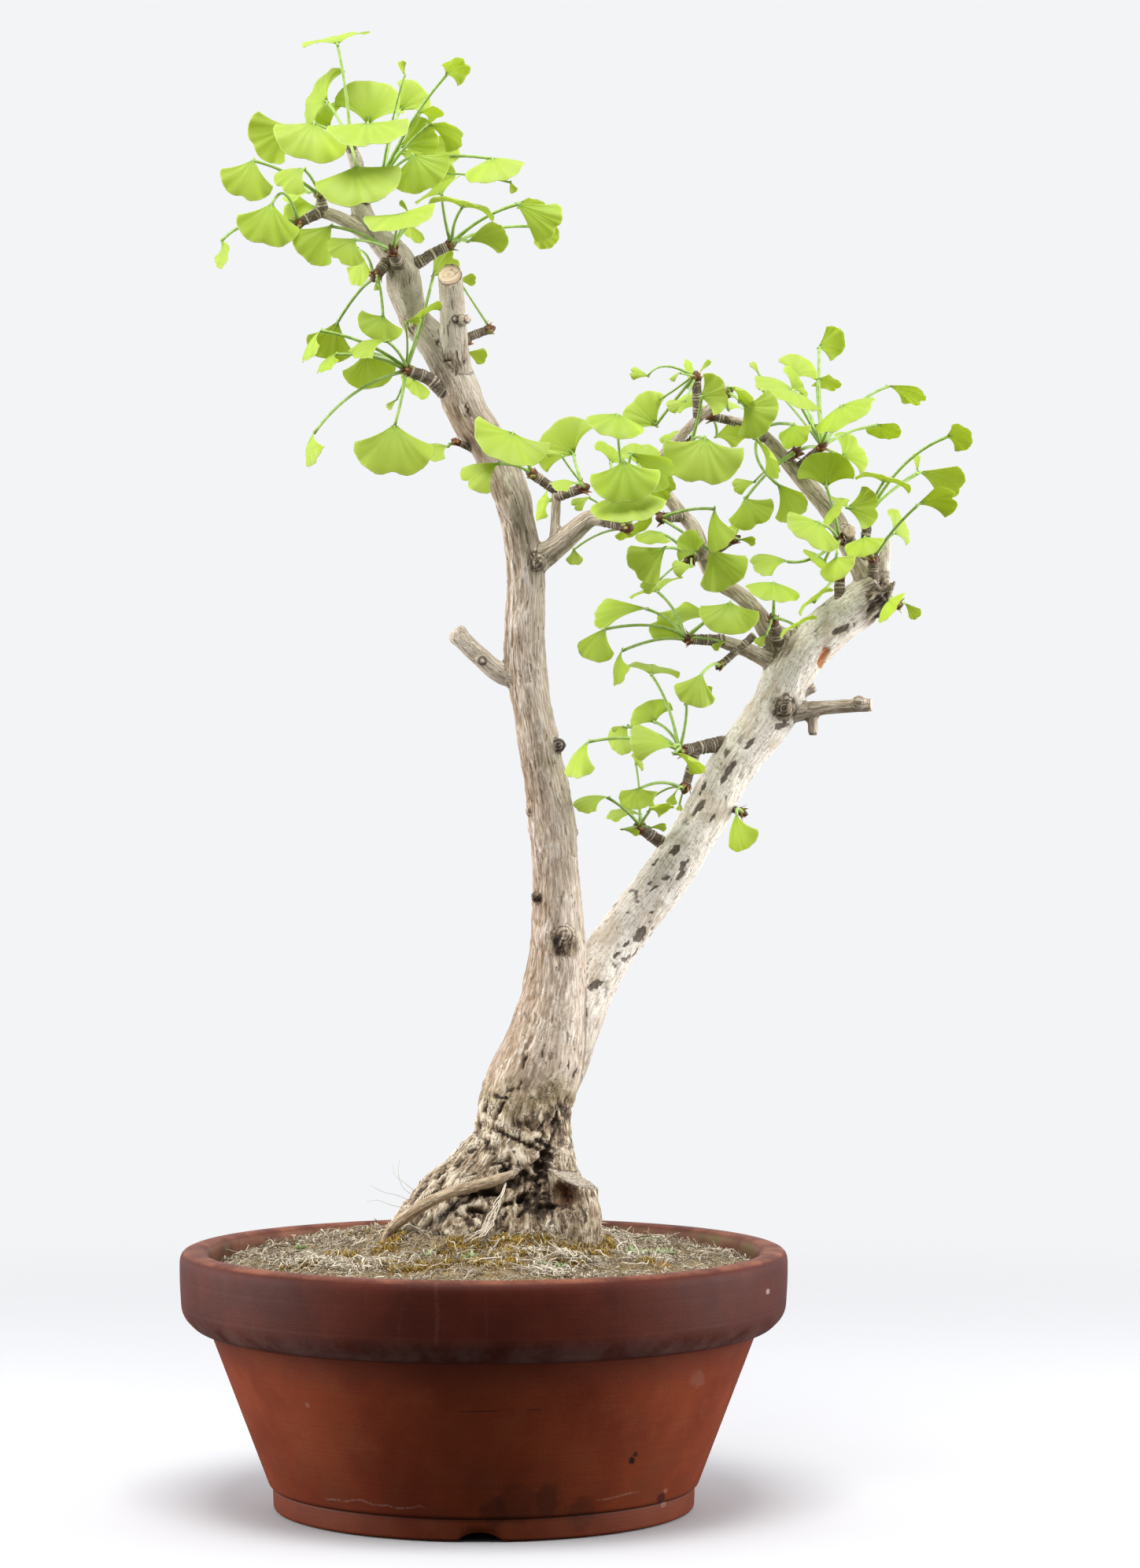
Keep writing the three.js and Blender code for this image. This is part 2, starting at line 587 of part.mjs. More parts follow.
    leaves: [
      [83, 619, 85, 594, 48, NEAR, { deep: -34 }],
      [85, 600, 87, 583, 52, NEAR, { deep: -20 }],
      [87, 624, 112, 608, 26, NEAR, { deep: -4 }],
      [95, 607, 113, 600, 20, FAR, { deep: 12 }],
      [75, 619, 74, 630, 20, FAR],
      [92, 618, 93, 631, 30, FAR, { deep: 28 }],
      [88, 581, 93, 577, 28, FAR],
      [62, 598, 52, 592, 10, NEAR],
      [53, 567, 54, 557, 12, FAR, { via: [70, 577] }],
      [79, 647, 76, 633, 40, NEAR],
    ] },
  { name: 'spray_knob', spur: [[129, 14, 565, 3.6], [123, -2, 562, 3]],
    leaves: [
      [107, 568, 88, 553, 32, NEAR],
      [123, 557, 111, 556, 12, NEAR],
      [104, 577, 92, 571, 14, NEAR],
      [125, 565, 118, 578, 22, NEAR, { deep: -6 }],
      [104, 549, 93, 543, 10, NEAR],
    ] },
  { name: 'spray_bough', spur: [[119, 24, 587, 3.6], [107, 14, 586, 3]],
    leaves: [
      [134, 567, 148, 545, 38, NEAR, { via: [114, 580] }],
      [137, 591, 140, 566, 20, NEAR, { deep: -27 }],
    ] },
  { name: 'spray_arch', spur: [[111, 18, 628, 3.2], [121, 8, 630, 2.8]],
    leaves: [
      [131, 633, 128, 605, 56, NEAR, { cup: 3 }],
      [129, 658, 145, 662, 30, NEAR, { via: [127, 645] }],
      [118, 632, 108, 636, 16, FAR, { via: [120, 625] }],
    ] },
  { name: 'spray_arch_top', spur: [[127, 16, 644, 3], [126, 12, 667, 2.8]],
    leaves: [
      [121, 664, 122, 680, 10, FAR],
      [116, 672, 110, 667, 4, NEAR],
      [128, 672, 135, 680, 4, FAR],
      [119, 655, 108, 651, 10, NEAR],
      [97, 670, 86, 673, 9, NEAR, { via: [108, 676] }],
      [102, 641, 87, 656, 38, FAR],
      [104, 656, 102, 661, 4, FAR],
    ] },
  { name: 'spray_arch_end', spur: [[143, 16, 659, 2.6]], behind: [127, 16, 645],
    leaves: [
      [146, 663, 161, 655, 8, NEAR],
      [145, 650, 140, 656, 18, FAR],
      [155, 652, 172, 641, 38, NEAR],
    ] },
  { name: 'spray_back_end', spur: [[136, 26, 646, 2.6]], behind: [157, 30, 641],
    leaves: [
      [138, 634, 157, 638, 20, FAR],
      [127, 652, 118, 659, 24, FAR],
    ] },
  { name: 'spray_back_middle', spur: [[166, 32, 633, 3], [165, 22, 638, 2.6]],
    leaves: [
      [184, 641, 184, 626, 22, NEAR],
      [174, 606, 188, 586, 26, NEAR, { via: [162, 622] }],
      [160, 633, 176, 611, 10, NEAR],
    ] },
  { name: 'spray_back_low', spur: [[178, 34, 620, 3.2], [184, 26, 624, 3]],
    leaves: [
      [213, 622, 224, 630, 34, FAR, { via: [198, 628] }],
      [160, 607, 147, 604, 12, NEAR, { deep: -4 }],
      [155, 597, 163, 580, 34, NEAR],
    ] },
  { name: 'spray_back_top', spur: [[185, 34, 615, 2.8], [199, 24, 627, 2.4]],
    leaves: [
      [183, 662, 160, 667, 14, NEAR, { deep: -3 }],
      [183, 661, 180, 654, 48, NEAR, { deep: -12 }],
      [163, 671, 158, 679, 5, FAR],
      [184, 670, 190, 682, 30, FAR, { deep: 30 }],
      [183, 662, 185, 673, 20, FAR, { deep: 13 }],
      [198, 668, 211, 662, 12, FAR],
      [199, 687, 215, 692, 24, FAR],
      [212, 652, 218, 641, 46, NEAR],
      [234, 641, 243, 632, 18, FAR],
      [240, 664, 261, 654, 14, FAR, { via: [220, 652] }],
      [197, 641, 205, 643, 3, NEAR],
    ] },
  { name: 'spray_right_top', spur: [[224, 30, 554, 3.6], [228, 26, 587, 2.8]],
    leaves: [
      [237, 607, 238, 611, 40, NEAR],
      [216, 592, 235, 592, 30, NEAR],
      [215, 592, 202, 599, 8, FAR],
      [259, 613, 284, 603, 26, FAR],
      [257, 613, 256, 625, 6, FAR, { deep: 5 }],
      [275, 634, 291, 634, 19, NEAR, { via: [250, 618] }],
    ] },
  { name: 'spray_right_end', spur: [[231, 24, 543, 3.8], [231, 20, 560, 3.2]],
    leaves: [
      [243, 577, 249, 587, 24, FAR, { deep: 4 }],
      [258, 594, 281, 598, 22, NEAR],
      [226, 574, 224, 562, 26, NEAR],
    ] },
  { name: 'spray_bend', spur: [[213, 32, 573, 3.4], [211, 20, 573, 3]],
    leaves: [
      [198, 583, 190, 571, 42, NEAR],
      [207, 592, 207, 583, 18, NEAR, { deep: -9 }],
      [203, 605, 203, 626, 40, NEAR, { deep: -5 }],
      [209, 562, 210, 548, 24, NEAR],
      [202, 560, 192, 562, 14, NEAR, { deep: -3 }],
      [180, 560, 158, 558, 16, NEAR, { via: [195, 562] }],
    ] },
  { name: 'spray_ridge', spur: [[211, 23, 531, 3.8], [211, 20, 549, 3.2]],
    leaves: [
      [196, 536, 197, 541, 20, NEAR],
    ] },
  { name: 'spray_collar', spur: [[175, 21, 511, 4], [172, 14, 524, 3]],
    leaves: [
      [172, 547, 170, 536, 38, NEAR],
      [186, 521, 187, 525, 22, NEAR],
      [167, 516, 161, 510, 8, NEAR],
    ] },
  { name: 'spray_low_end', spur: [[142, 18, 513, 4], [123, 12, 514, 3]],
    leaves: [
      [103, 542, 101, 547, 40, FAR],
      [96, 532, 65, 526, 20, FAR],
      [72, 520, 62, 501, 26, NEAR, { via: [100, 522] }],
      [82, 507, 79, 486, 10, NEAR],
      [120, 514, 100, 526, 26, FAR],
      [135, 527, 110, 528, 16, FAR],
      [146, 535, 144, 516, 42, NEAR],
      [142, 512, 135, 508, 6, NEAR, { deep: -12 }],
    ] },
  { name: 'spray_low_spur', spur: [[160, 22, 516, 2.6], [142, 14, 500, 2.2]],
    leaves: [
      [129, 493, 122, 474, 30, NEAR],
    ] },
  { name: 'spray_twig_middle', spur: [[133, 22, 563, 2.6], [147, 18, 572, 2.1]],
    leaves: [
      [148, 572, 145, 582, 12, FAR],
      [152, 573, 162, 572, 7, NEAR],
    ] },
  { name: 'spray_break', spur: [[232, 23, 533, 3.2], [243, 17, 534, 2.4]],
    leaves: [
      [241, 537, 240, 526, 16, NEAR],
      [250, 535, 258, 526, 10, FAR],
    ] },
  { name: 'spray_spur_upper', spur: [[142, 25, 452, 5], [119, 12, 448, 3.4]],
    leaves: [
      [99, 493, 100, 499, 40, FAR],
      [101, 465, 95, 477, 32, FAR],
      [120, 476, 134, 488, 14, NEAR, { deep: -5 }],
      [112, 450, 86, 456, 24, NEAR],
      [85, 462, 78, 446, 20, FAR],
      [82, 462, 75, 460, 4, NEAR],
      [62, 453, 52, 431, 18, NEAR, { via: [90, 455], deep: -36 }],
      [113, 446, 132, 436, 8, NEAR],
    ] },
  { name: 'spray_spur_hanging', spur: [[126, 16, 449, 3.2], [120, 14, 428, 2.8]],
    leaves: [
      [92, 425, 88, 412, 25, NEAR],
      [113, 422, 110, 415, 8, NEAR],
      [116, 416, 116, 411, 5, FAR],
      [100, 420, 97, 414, 8, FAR],
    ] },
  { name: 'spray_spur_lower', spur: [[107, 22, 392, 4], [94, 15, 401, 3.6]],
    leaves: [
      [73, 420, 53, 414, 12, NEAR],
      [92, 410, 72, 409, 9, FAR],
      [98, 412, 113, 416, 7, NEAR],
      [90, 440, 93, 444, 13, FAR],
      [82, 401, 93, 399, 5, NEAR],
      [99, 402, 109, 403, 6, NEAR],
    ] },
  { name: 'leaf_trunk_right', spur: [[144, 24, 415, 2.8], [151, 21, 412, 2.2]],
    leaves: [
      [150, 410, 154, 388, 22, NEAR],
    ] },
];

// Where a leaf stands. The stalk is a little longer than the way it is seen to go, which
// puts the blade's foot nearer or farther than the spur's tip; in the same way the blade is
// at least LENGTH_BY_WIDTH as long as it is wide. A blade seen narrower than it is turns
// about its own length.
function leafPlace(end, [footX, footZ, edgeX, edgeZ, seenWidth, side, more = {}]) {
  const [endX, endDepth, endZ] = end;
  const seenLength = Math.hypot(edgeX - footX, edgeZ - footZ);
  const adult = seenWidth >= ADULT_WIDTH || seenLength > ADULT_WIDTH;
  const run = Math.hypot(footX - endX, footZ - endZ);
  const stalk = Math.max(STALK_SLACK * run, adult ? STALK_ADULT : STALK_YOUNG);
  const deep = more.deep ?? side * Math.sqrt(stalk * stalk - run * run);
  const width = more.wide ?? Math.max(seenWidth, adult ? TRUE_WIDTH : seenWidth * 1.1);
  const trueLength = Math.max(1.02 * seenLength, LENGTH_BY_WIDTH * width);
  const dip = more.dip ?? side * Math.sqrt(trueLength * trueLength - seenLength * seenLength);
  const foot = lined(footX, endDepth + deep, footZ);
  const axis = lined(edgeX, endDepth + deep + dip, edgeZ).sub(foot);
  const length = axis.length();
  axis.divideScalar(length);
  const turn = Math.acos(Math.min(1, seenWidth / width)) * (more.roll ?? 1);
  const sight = foot.clone().sub(EYE).normalize();
  const across = axis.clone().cross(sight).normalize().applyAxisAngle(axis, turn);
  const up = across.clone().cross(axis);
  if (up.z < 0) {
    up.negate();
    across.negate();
  }
  const [viaX, viaZ, viaDeep = deep * 0.55] =
    more.via ?? [(endX + footX) / 2, (endZ + footZ) / 2 + STALK_RISE * stalk];
  const via = lined(viaX, endDepth + viaDeep, viaZ);
  const lobed = seenWidth >= LOBED_WIDTH;
  const broad = seenWidth >= BROAD_WIDTH;
  const cup = more.cup ?? 0.1 * length;
  return { foot, axis, across, up, length, width, via, adult, lobed, broad, cup };
}

// The fan: at `s` from -1 to 1 across it and `t` from 0 at the foot to 1 at the edge the
// point lies s times the half angle round the foot, the half angle opening with t so that
// the sides are hollow, at t times the length. The edge has a cleft in the middle and
// lobes, the blade arches between foot and edge, its sides rise by `cup`, and it waves.
function bladePoint(place, number, s, t) {
  const { foot, axis, across, up, length, width, cup } = place;
  const half = Math.asin(Math.min(0.98, width / (2.02 * length)));
  const angle = s * half * (0.72 + 0.28 * t);
  const cleft = (0.03 + 0.09 * draw(number, 1)) * Math.exp(-s * s * 60);
  const lobes = 0.035 * Math.cos(3 * Math.PI * s);
  const reach = length * t * (1.03 - 0.05 * s * s - t * (cleft + lobes));
  const arch = 0.06 * length * 4 * t * (1 - t);
  const wave = 0.035 * width * Math.sin(Math.PI * (2.2 * s + 2 * draw(number, 2)));
  const lift = arch + t * t * (cup * s * s + wave * Math.abs(s));
  return foot.clone()
    .addScaledVector(axis, reach * Math.cos(angle) - 1)
    .addScaledVector(across, reach * Math.sin(angle))
    .addScaledVector(up, lift);
}

// A whole leaf as one closed skin: a three-sided stalk along a curve from inside the bud,
// through `via`, to the blade's foot, and the blade as a plate: a fan of triangles from its
// foot to its first row, a strip on to the edge, the same on the face below, and a wall all
// round. The stalk's three corners are the foot's upper corner and its two lower ones.
function leafSkin(place, tip, along, number) {
  const sectors = place.lobed ? 6 : 4;
  const rowsAt = place.broad ? [0.58, 1] : [1];
  const columns = Array.from({ length: sectors + 1 }, (_, column) => (2 * column) / sectors - 1);
  const face = rowsAt.flatMap((t) => columns.map((s) => bladePoint(place, number, s, t)));
  const half = place.up.clone().multiplyScalar(BLADE_THICK / 2);

  const outward = place.via.clone().sub(tip);
  outward.addScaledVector(along, -outward.dot(along)).normalize();
  const root = tip.clone()
    .addScaledVector(along, BUD_LENGTH * (0.3 + 0.35 * draw(number, 3)))
    .addScaledVector(outward, STALK_ROOT_OUT);
  const halfway = root.clone().add(place.foot).multiplyScalar(0.5);
  const bend = place.via.clone().multiplyScalar(2).sub(halfway);
  const curve = new THREE.QuadraticBezierCurve3(root, bend, place.foot);
  const corners = [[0, 1], [-0.9, -0.5], [0.9, -0.5]];
  const steps = place.adult ? STALK_STEPS : 1;
  const stalkPoints = curve.getPoints(steps).flatMap((p, step) => {
    const tangent = curve.getTangent(step / steps);
    const full = new THREE.Quaternion().setFromUnitVectors(place.axis, tangent);
    const bent = new THREE.Quaternion().slerp(full, step === steps ? 0.5 : 1);
    return corners.map(([sideShare, upShare]) => {
      const corner = v3(0, 0, 0)
        .addScaledVector(place.across, sideShare * STALK_RADIUS)
        .addScaledVector(place.up, upShare * STALK_RADIUS);
      return corner.applyQuaternion(bent).add(p);
    });
  });

  const points = [
    ...stalkPoints,
    ...face.map((p) => p.clone().add(half)),
    ...face.map((p) => p.clone().sub(half)),
  ];
  const faces = [[0, 1, 2]];
  for (let step = 0; step < steps; step += 1) {
    for (let corner = 0; corner < 3; corner += 1) {
      const here = step * 3 + corner;
      const next = step * 3 + ((corner + 1) % 3);
      faces.push([here, next + 3, next], [here, here + 3, next + 3]);
    }
  }
  const top = steps * 3;
  const upper = stalkPoints.length;
  const lower = upper + face.length;
  const row = columns.length;
  const centreColumn = sectors / 2;
  for (let column = 0; column < sectors; column += 1) {
    const lowerFoot = column < centreColumn ? top + 1 : top + 2;
    faces.push([top, upper + column + 1, upper + column]);
    faces.push([lowerFoot, lower + column, lower + column + 1]);
    if (rowsAt.length > 1) {
      const strip = [[column, column + row, column + 1], [column + row, column + row + 1, column + 1]];
      strip.forEach(([a, b, c]) => {
        faces.push([upper + a, upper + c, upper + b]);
        faces.push([lower + a, lower + b, lower + c]);
      });
    }
  }
  faces.push([top + 1, lower + centreColumn, top + 2]);
  const rim = columns.map((_, column) => (rowsAt.length - 1) * row + column);
  if (rowsAt.length > 1) {
    rim.unshift(0);
    rim.push(row - 1);
  }
  for (let index = 0; index < rim.length - 1; index += 1) {
    const from = rim[index];
    const to = rim[index + 1];
    faces.push([upper + from, upper + to, lower + to], [upper + from, lower + to, lower + from]);
  }
  const last = row - 1;
  faces.push([top, upper, lower], [top, lower, top + 1]);
  faces.push([top, lower + last, upper + last], [top, top + 2, lower + last]);
  return indexed(points, faces);
}

// The bud's rings stand square to `along`, from just off the spur's end to its own tip.
function bud(tip, along, radius) {
  const side = v3(0.3, 1, 0.1);
  side.addScaledVector(along, -side.dot(along)).normalize();
  const ring = (distance, r) => Array.from({ length: BUD_SIDES }, (_, corner) => {
    const out = side.clone().applyAxisAngle(along, (2 * Math.PI * corner) / BUD_SIDES);
    return tip.clone().addScaledVector(along, distance).addScaledVector(out, r);
  });
  return solidOf(skin([
    ring(GAP, radius * 0.85),
    ring(BUD_LENGTH * 0.4, radius * BUD_WIDEST),
    ring(BUD_LENGTH, radius * 0.45),
  ]));
}

let leafNumber = 0;

function spray({ spur, behind, leaves }) {
  const end = spur[spur.length - 1];
  const tip = lined(...end);
  const before = behind ? lined(...behind) : lined(...spur[spur.length - 2]);
  const along = tip.clone().sub(before).normalize();
  const solids = [bud(tip, along, end[3])];
  leaves.forEach((leaf) => {
    leafNumber += 1;
    solids.push(solidOf(leafSkin(leafPlace(end, leaf), tip, along, leafNumber)));
  });
  return fused(solids);
}

// -------------------------------------------------------------------------- assembly

const bonsai = new THREE.Group();
bonsai.name = 'ginkgo_bonsai';

function place(name, solid, material) {
  const mesh = new THREE.Mesh(geometryOf(solid), material);
  mesh.name = name;
  bonsai.add(mesh);
}

place('pot', pot(), TERRACOTTA);
place('drain_mesh', drainMesh(), MESH_PLASTIC);
place('soil', soil(), SOIL);
place('tree', tree(), BARK);
SPRAYS.forEach((entry) => place(entry.name, spray(entry), LEAF));

// The origin goes under the middle of the whole, on the surface that the pot stands on.
const reach = new THREE.Box3().setFromObject(bonsai);
const centre = reach.getCenter(v3(0, 0, 0));
bonsai.position.set(-centre.x, -centre.y, -reach.min.z);

export default bonsai;
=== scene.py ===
"""The looks of a ginkgo bonsai in a round terracotta training pot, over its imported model.

Lengths are millimetres from the pot's centre line and the surface that it stands on, with
+X to the right and +Y away from the front, until `in_frame` turns them into the row frame's
metres. Each piece is a surface worked out with numpy, and each finish is made of nodes.
"""

import math

import bpy
import numpy as np
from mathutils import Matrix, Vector


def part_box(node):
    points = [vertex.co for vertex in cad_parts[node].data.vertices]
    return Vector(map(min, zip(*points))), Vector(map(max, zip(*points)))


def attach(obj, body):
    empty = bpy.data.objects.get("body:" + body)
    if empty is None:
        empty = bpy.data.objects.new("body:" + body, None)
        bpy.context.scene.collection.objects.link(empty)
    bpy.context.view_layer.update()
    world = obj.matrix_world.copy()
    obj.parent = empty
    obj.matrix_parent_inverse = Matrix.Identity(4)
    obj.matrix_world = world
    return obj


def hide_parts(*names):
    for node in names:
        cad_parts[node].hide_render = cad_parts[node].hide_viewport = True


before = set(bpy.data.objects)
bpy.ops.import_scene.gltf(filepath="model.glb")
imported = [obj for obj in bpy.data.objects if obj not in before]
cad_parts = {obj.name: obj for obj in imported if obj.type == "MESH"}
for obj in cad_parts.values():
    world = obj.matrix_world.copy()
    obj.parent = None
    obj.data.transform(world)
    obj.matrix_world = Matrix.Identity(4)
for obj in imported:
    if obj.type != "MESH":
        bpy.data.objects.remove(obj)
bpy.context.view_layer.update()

# ------------------------------------------------------------ the frame and lines of sight

MM = 0.001
pot_low, pot_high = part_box("pot")
POT_MIDDLE = np.array([(pot_low.x + pot_high.x) / 2, (pot_low.y + pot_high.y) / 2, pot_low.z])

# Places on the tree are given as they line up, seen from EYE, with the plane through the
# pot's centre line; `lined` puts them at their own depth on that line of sight.
EYE = np.array([51.0, -2550.0, 428.0])
LENS = 98.64
SENSOR = 36.0


def in_frame(points):
    """Millimetres round the pot's centre line as metres in the row frame."""
    return np.asarray(points, float) * MM + POT_MIDDLE


def lined(x, depth, z):
    """The point at `depth` on the line of sight that passes x, z in the pot's middle plane."""
    x, depth, z = (np.asarray(value, float) for value in (x, depth, z))
    share = (depth - EYE[1]) / -EYE[1]
    return np.stack(np.broadcast_arrays(
        EYE[0] + (x - EYE[0]) * share, depth, EYE[2] + (z - EYE[2]) * share), -1)


# ------------------------------------------------------------------------- number helpers

def draw(index, salt):
    """A repeatable draw from 0 to 1 for thing number `index` and purpose `salt`: what is left
    after the point of a large multiple of a sine."""
    wild = np.sin(np.asarray(index, float) * 12.9898 + salt * 78.233) * 43758.5453
    return wild - np.floor(wild)


def unit(vectors):
    """Each vector divided by its length."""
    return vectors / np.maximum(np.linalg.norm(vectors, axis=-1, keepdims=True), 1e-9)


def ramp(value, low, high):
    """0 below `low`, 1 above `high`, and 3u2 - 2u3 in between."""
    share = np.clip((value - low) / (high - low), 0, 1)
    return share * share * (3 - 2 * share)


def lattice_draw(cell, salt):
    """A draw from 0 to 1 for each whole-number cell x, y, z, by mixing the bits of the three."""
    x, y, z = (cell[..., axis].astype(np.int64) for axis in range(3))
    mixed = (x * 374761393 + y * 668265263 + z * 1440662683 + salt * 1274126177) & 0xFFFFFFFF
    mixed = ((mixed ^ (mixed >> 13)) * 1103515245) & 0xFFFFFFFF
    mixed = ((mixed ^ (mixed >> 16)) * 2654435761) & 0xFFFFFFFF
    return (mixed ^ (mixed >> 15)) / 4294967295.0


def noise(points, salt=0):
    """Value noise: draws at the corners of the unit lattice, blended by 3u2 - 2u3."""
    cell = np.floor(points).astype(np.int64)
    part = points - cell
    part = part * part * (3 - 2 * part)
    total = 0.0
    for corner in np.ndindex(2, 2, 2):
        share = np.prod(np.where(corner, part, 1 - part), axis=-1)
        total = total + share * lattice_draw(cell + np.array(corner), salt)
    return total


def fractal(points, salt=0, octaves=3):
    """Noise plus its own double frequencies at half the strength each, kept from 0 to 1."""
    total, weight = 0.0, 0.0
    for octave in range(octaves):
        total = total + noise(points * 2.0 ** octave, salt + octave) * 0.5 ** octave
        weight += 0.5 ** octave
    return total / weight


# --------------------------------------------------------------------------- mesh helpers

def grid_faces(rows, columns, closed=False):
    """Quads between neighbouring corners of a grid, the columns joined up if `closed`."""
    span = columns if closed else columns - 1
    row, column = np.meshgrid(np.arange(rows - 1), np.arange(span), indexing="ij")
    after = (column + 1) % columns
    return np.stack([row * columns + column, row * columns + after,
                     (row + 1) * columns + after, (row + 1) * columns + column], -1).reshape(-1, 4)


class Shell:
    """Points, faces and per-point values of a piece while it is put together."""

    def __init__(self):
        self.points, self.faces, self.values, self.count = [], [], {}, 0

    def add(self, points, faces, **values):
        """Adds points (n, 3) and lists of faces, with a value or an array for each name."""
        points = np.asarray(points, float).reshape(-1, 3)
        self.points.append(points)
        self.faces += [np.asarray(face) + self.count for face in faces if len(face)]
        for name, value in values.items():
            value = np.asarray(value, float)
            if value.ndim == 0 or (value.ndim == 1 and len(value) != len(points)):
                value = np.broadcast_to(value, (len(points),) + value.shape)
            self.values.setdefault(name, []).append(value)
        self.count += len(points)

    def piece(self, name, material, slot, *nodes):
        """The Blender object: smooth, riding on the root body, in place of `nodes` if any."""
        points = np.concatenate(self.points)
        corners = np.concatenate([face.reshape(-1) for face in self.faces]).astype(np.int32)
        sizes = np.concatenate([np.full(len(face), face.shape[1]) for face in self.faces])
        starts = np.concatenate([[0], np.cumsum(sizes)[:-1]]).astype(np.int32)
        mesh = bpy.data.meshes.new(name)
        mesh.vertices.add(len(points))
        mesh.vertices.foreach_set("co", in_frame(points).ravel())
        mesh.loops.add(len(corners))
        mesh.loops.foreach_set("vertex_index", corners)
        mesh.polygons.add(len(sizes))
        mesh.polygons.foreach_set("loop_start", starts)
        mesh.polygons.foreach_set("use_smooth", np.ones(len(sizes), bool))
        mesh.update(calc_edges=True)
        for key, parts in self.values.items():
            values = np.concatenate(parts)
            kind, field = ("FLOAT", "value") if values.ndim == 1 else ("FLOAT_VECTOR", "vector")
            attribute = mesh.attributes.new(key, kind, "POINT")
            attribute.data.foreach_set(field, values.ravel().astype(np.float32))
        mesh.materials.append(material)
        made = bpy.data.objects.new(name, mesh)
        bpy.context.scene.collection.objects.link(made)
        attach(made, "root")
        if nodes:
            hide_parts(*nodes)


def smooth_path(knots, step):
    """A cubic Hermite curve through `knots` (any number of columns, the first three a place),
    with slopes from the neighbouring knots, sampled about every `step` of its length."""
    knots = np.asarray(knots, float)
    gaps = np.linalg.norm(np.diff(knots[:, :3], axis=0), axis=1)
    at = np.concatenate([[0], np.cumsum(gaps)])
    slopes = np.gradient(knots, at, axis=0)
    where = np.linspace(0, at[-1], max(2, int(round(at[-1] / step)) + 1))
    seg = np.clip(np.searchsorted(at, where, "right") - 1, 0, len(gaps) - 1)
    span = gaps[seg][:, None]
    u = (where - at[seg])[:, None] / span
    return ((2 * u**3 - 3 * u**2 + 1) * knots[seg] + (u**3 - 2 * u**2 + u) * span * slopes[seg]
            + (3 * u**2 - 2 * u**3) * knots[seg + 1] + (u**3 - u**2) * span * slopes[seg + 1])


def frames(path):
    """For each point of a path its tangent and two directions square to it: the axis that the
    path runs least along, made square to the tangent, and the tangent crossed with that."""
    tangent = unit(np.gradient(path, axis=0))
    least = np.argmin(np.abs(tangent).max(axis=0))
    side = unit(np.eye(3)[least] - tangent * tangent[:, least:least + 1])
    return tangent, side, np.cross(tangent, side)


def tube(path, radii, sides):
    """Rings round a path: the ring's centre plus radius times (cos, sin) on the two square
    directions. `radii` holds one value a ring or one for each corner. Both ends are closed."""
    path = np.asarray(path, float)
    _, side, other = frames(path)
    angle = 2 * np.pi * np.arange(sides) / sides
    radii = np.asarray(radii, float)
    radii = radii[:, None] if radii.ndim == 1 else radii
    rings = (path[:, None] + (radii * np.cos(angle))[..., None] * side[:, None]
             + (radii * np.sin(angle))[..., None] * other[:, None])
    return capped(rings)


def capped(rings):
    """Rings (rows, sides, 3) as points and faces, with a fan over the first and last ring."""
    rows, sides = rings.shape[:2]
    points = np.concatenate([rings.reshape(-1, 3), rings[0].mean(0)[None], rings[-1].mean(0)[None]])
    corner = np.arange(sides)
    after = (corner + 1) % sides
    foot = np.stack([np.full(sides, rows * sides), after, corner], -1)
    last = (rows - 1) * sides
    top = np.stack([np.full(sides, rows * sides + 1), last + corner, last + after], -1)
    return points, [grid_faces(rows, sides, closed=True), foot, top]


def strands(paths, radii, sides=3):
    """Many thin tubes at once: paths (k, n, 3) with radii (k, n), closed at both ends."""
    paths = np.asarray(paths, float)
    count, rows = paths.shape[:2]
    tangent = unit(np.gradient(paths, axis=1))
    lean = np.where(np.abs(tangent[:, :1, 2:3]) < 0.7, [[[0, 0, 1.0]]], [[[1.0, 0, 0]]])
    side = unit(np.cross(tangent, lean))
    other = np.cross(tangent, side)
    angle = 2 * np.pi * np.arange(sides) / sides
    reach = radii[..., None, None]
    rings = (paths[:, :, None] + reach * np.cos(angle)[:, None] * side[:, :, None]
             + reach * np.sin(angle)[:, None] * other[:, :, None])
    first = (np.arange(count) * rows * sides)[:, None, None]
    quads = (grid_faces(rows, sides, closed=True)[None] + first).reshape(-1, 4)
    foot = (np.arange(sides)[::-1][None, None] + first).reshape(-1, sides)
    top = ((rows - 1) * sides + np.arange(sides)[None, None] + first).reshape(-1, sides)
    return rings.reshape(-1, 3), [quads, foot, top]


def pillow(upper, lower):
    """Two grids (rows, columns, 3) that share their border, as one closed thin shell: the upper
    one's faces turn with rows after columns, and the lower one's the other way."""
    rows, columns = upper.shape[:2]
    top = np.arange(rows * columns).reshape(rows, columns)
    under = top.copy()
    under[1:-1, 1:-1] = rows * columns + np.arange((rows - 2) * (columns - 2)).reshape(rows - 2, -1)
    quads = grid_faces(rows, columns)
    points = np.concatenate([upper.reshape(-1, 3), lower[1:-1, 1:-1].reshape(-1, 3)])
    return points, [top.ravel()[quads], under.ravel()[quads][:, ::-1]]


def pillow_values(grid):
    """Values (rows, columns, ...) spread over a pillow's points: all, then the inner ones."""
    flat = (-1,) + grid.shape[2:]
    return np.concatenate([grid.reshape(flat), grid[1:-1, 1:-1].reshape(flat)])


# ---------------------------------------------------------------------- materials in nodes

def rgb(code):
    """A colour code such as "9a4e33" as linear light, by the usual display curve."""
    levels = [int(code[place:place + 2], 16) / 255 for place in (0, 2, 4)]
    return (*(v / 12.92 if v <= 0.04045 else ((v + 0.055) / 1.055) ** 2.4 for v in levels), 1.0)


